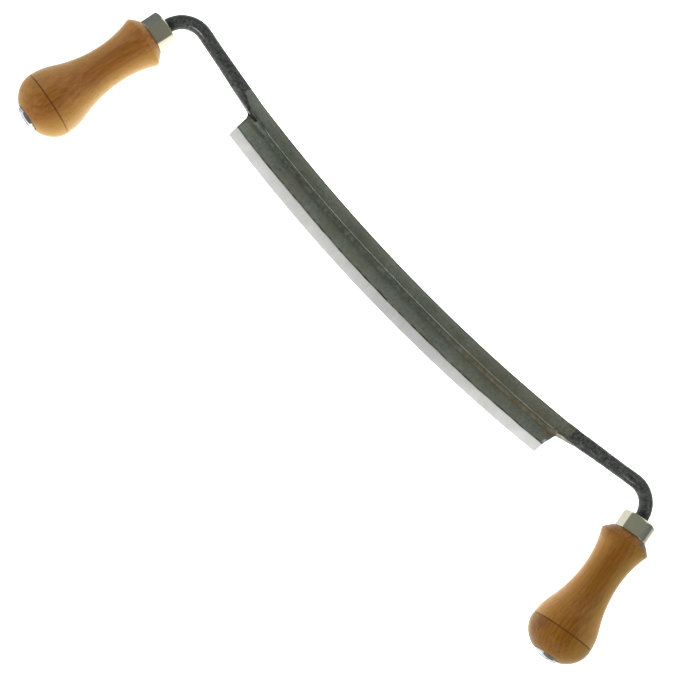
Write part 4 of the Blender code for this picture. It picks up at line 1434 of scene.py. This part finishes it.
def make_end_nuts(settings):
    """Two hexagon nuts that hold the handles on."""
    hardware = settings.hardware
    plan = HandlePlan(settings)
    zinc = bright_zinc(settings.finish)
    for name, side in SIDES:
        skin = nut_skin(hardware, hardware.nut_flats, hardware.nut_height, plan.bore,
                        of_side(hardware.nut_turn, name))
        put_piece(name + "_hexagon_nut", skin, (zinc,), handle_matrix(settings, side, plan.nut),
                  name + "_end_nut")


def make_washers(settings):
    """Two washers with rolled edges in the counterbores of the butts."""
    hardware = settings.hardware
    plan = HandlePlan(settings)
    zinc = bright_zinc(settings.finish)
    outside = hardware.washer_diameter / 2
    thick = hardware.washer_thickness
    corners = [(plan.bore, 0.0), (outside, 0.0), (outside, thick), (plan.bore, thick)]
    neighbours = zip(corners[-1:] + corners[:-1], corners, corners[1:] + corners[:1])
    profile = np.vstack([softened(*three, thick / 5) for three in neighbours])
    for name, side in SIDES:
        skin = Skin()
        skin.add_loft(turned_rings(profile), closed=True, edge=0.3)
        put_piece(name + "_plain_washer", skin, (zinc,), handle_matrix(settings, side, plan.washer),
                  name + "_washer")


def make_floor(stage):
    """A wide pale floor whose far edge curls up a little."""
    steps = np.linspace(-1.0, 1.0, FLOOR_POINTS)
    x, y = np.meshgrid(steps, steps)
    rise = np.maximum(0.0, np.hypot(x, y) - FLOOR_FLAT) ** 2 * FLOOR_REACH - FLOOR_GAP
    skin = Skin()
    skin.add_sheet(np.stack((x * FLOOR_REACH, y * FLOOR_REACH, rise), axis=-1))
    paint = pale_floor(stage.floor_colour, stage.floor_glow)
    floor = put_in_scene("studio_floor", skin.to_mesh("studio_floor", (paint,), Matrix()))
    floor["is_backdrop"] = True


def make_light(stage):
    """Bright low surroundings, a darker ceiling and two soft lights on the user's side."""
    world = bpy.data.worlds.new("studio_light")
    bpy.context.scene.world = world
    world.use_nodes = True
    sheet = Sheet(world.node_tree)
    direction = sheet.add("TexCoord").outputs["Generated"]
    height = sheet.add("SeparateXYZ", {0: direction}).outputs["Z"]
    overhead = sheet.step(height, *SKY_SLOPE)
    background = world.node_tree.nodes["Background"]
    sheet.feed(background.inputs["Strength"], sheet.between(stage.sky_low, stage.sky_high, overhead))
    sheet.feed(background.inputs["Color"], SKY_TONE)
    for name, side in SIDES:
        key_data = bpy.data.lights.new(name + "_soft_key", "AREA")
        key_data.energy = stage.key_power
        key_data.size = KEY_SIZE
        key = put_in_scene(name + "_soft_key", key_data)
        key.location = (side * KEY_ASIDE, KEY_BACK, KEY_UP)
        key.rotation_euler = (Vector(stage.aim) - key.location).to_track_quat("-Z", "Y").to_euler()


def make_camera(stage):
    """Camera almost straight above the tool, leaning a little to the user and to the left handle."""
    data = bpy.data.cameras.new("photo_camera")
    data.lens = stage.lens
    data.clip_end = CAMERA_REACH
    back = Vector((-math.tan(stage.lean_left), -math.tan(stage.lean_user), 1.0)).normalized()
    level = Vector((math.cos(stage.turn), math.sin(stage.turn), 0.0))
    right = (level - back * level.dot(back)).normalized()
    camera = put_in_scene("photo_camera", data)
    pose = Matrix((right, back.cross(right), back)).transposed().to_4x4()
    camera.matrix_world = Matrix.Translation(Vector(stage.aim) + back * stage.distance) @ pose
    bpy.context.scene.camera = camera


def make_stage(settings):
    make_floor(settings.stage)
    make_light(settings.stage)
    make_camera(settings.stage)
    bpy.context.scene.view_settings.view_transform = "Standard"


class DRAWKNIFE_OT_blade(bpy.types.Operator):
    """Forge the blade in one with its tangs and studs"""

    bl_idname = "drawknife.blade"
    bl_label = "Blade and tangs"

    def execute(self, context):
        make_blade(context.scene.drawknife)
        return {"FINISHED"}


class DRAWKNIFE_OT_handles(bpy.types.Operator):
    """Turn the two wooden handles"""

    bl_idname = "drawknife.handles"
    bl_label = "Handles"

    def execute(self, context):
        make_handles(context.scene.drawknife)
        return {"FINISHED"}


class DRAWKNIFE_OT_collars(bpy.types.Operator):
    """Put a hexagon collar on each tang"""

    bl_idname = "drawknife.collars"
    bl_label = "Collars"

    def execute(self, context):
        make_collars(context.scene.drawknife)
        return {"FINISHED"}


class DRAWKNIFE_OT_washers(bpy.types.Operator):
    """Lay a washer in each butt"""

    bl_idname = "drawknife.washers"
    bl_label = "Washers"

    def execute(self, context):
        make_washers(context.scene.drawknife)
        return {"FINISHED"}


class DRAWKNIFE_OT_end_nuts(bpy.types.Operator):
    """Run a nut onto the end of each stud"""

    bl_idname = "drawknife.end_nuts"
    bl_label = "End nuts"

    def execute(self, context):
        make_end_nuts(context.scene.drawknife)
        return {"FINISHED"}


class DRAWKNIFE_OT_stage(bpy.types.Operator):
    """Lay the floor and set up light and camera"""

    bl_idname = "drawknife.stage"
    bl_label = "Floor, light and camera"

    def execute(self, context):
        make_stage(context.scene.drawknife)
        return {"FINISHED"}


class DRAWKNIFE_PT_panel(bpy.types.Panel):
    """Lists the pieces of the drawknife in the order in which they are made"""

    bl_idname = "DRAWKNIFE_PT_panel"
    bl_label = "Bent drawknife"
    bl_space_type = "VIEW_3D"
    bl_region_type = "UI"
    bl_category = "Drawknife"

    def draw(self, context):
        for operator in OPERATORS:
            self.layout.operator(operator.bl_idname)


GROUPS = (DrawknifeBlade, DrawknifeTang, DrawknifeHandle, DrawknifeHardware, DrawknifeFinish,
          DrawknifeStage, DrawknifeSettings)
OPERATORS = (DRAWKNIFE_OT_blade, DRAWKNIFE_OT_handles, DRAWKNIFE_OT_collars, DRAWKNIFE_OT_washers,
             DRAWKNIFE_OT_end_nuts, DRAWKNIFE_OT_stage)
CLASSES = (*GROUPS, *OPERATORS, DRAWKNIFE_PT_panel)


def register():
    for made in CLASSES:
        bpy.utils.register_class(made)
    bpy.types.Scene.drawknife = PointerProperty(
        name="Drawknife", description="Settings of the bent drawknife", type=DrawknifeSettings)


def unregister():
    del bpy.types.Scene.drawknife
    for made in reversed(CLASSES):
        bpy.utils.unregister_class(made)


def write_sizes():
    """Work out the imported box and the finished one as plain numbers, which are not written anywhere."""
    boxes = {"cad": CAD_BOX, "visual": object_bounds()}
    plain = {name: [[float(number) for number in corner] for corner in box] for name, box in boxes.items()}


def main():
    register()
    bpy.ops.drawknife.blade()
    bpy.ops.drawknife.handles()
    bpy.ops.drawknife.collars()
    bpy.ops.drawknife.washers()
    bpy.ops.drawknife.end_nuts()
    bpy.ops.drawknife.stage()
    write_sizes()


if __name__ == "__main__":
    main()
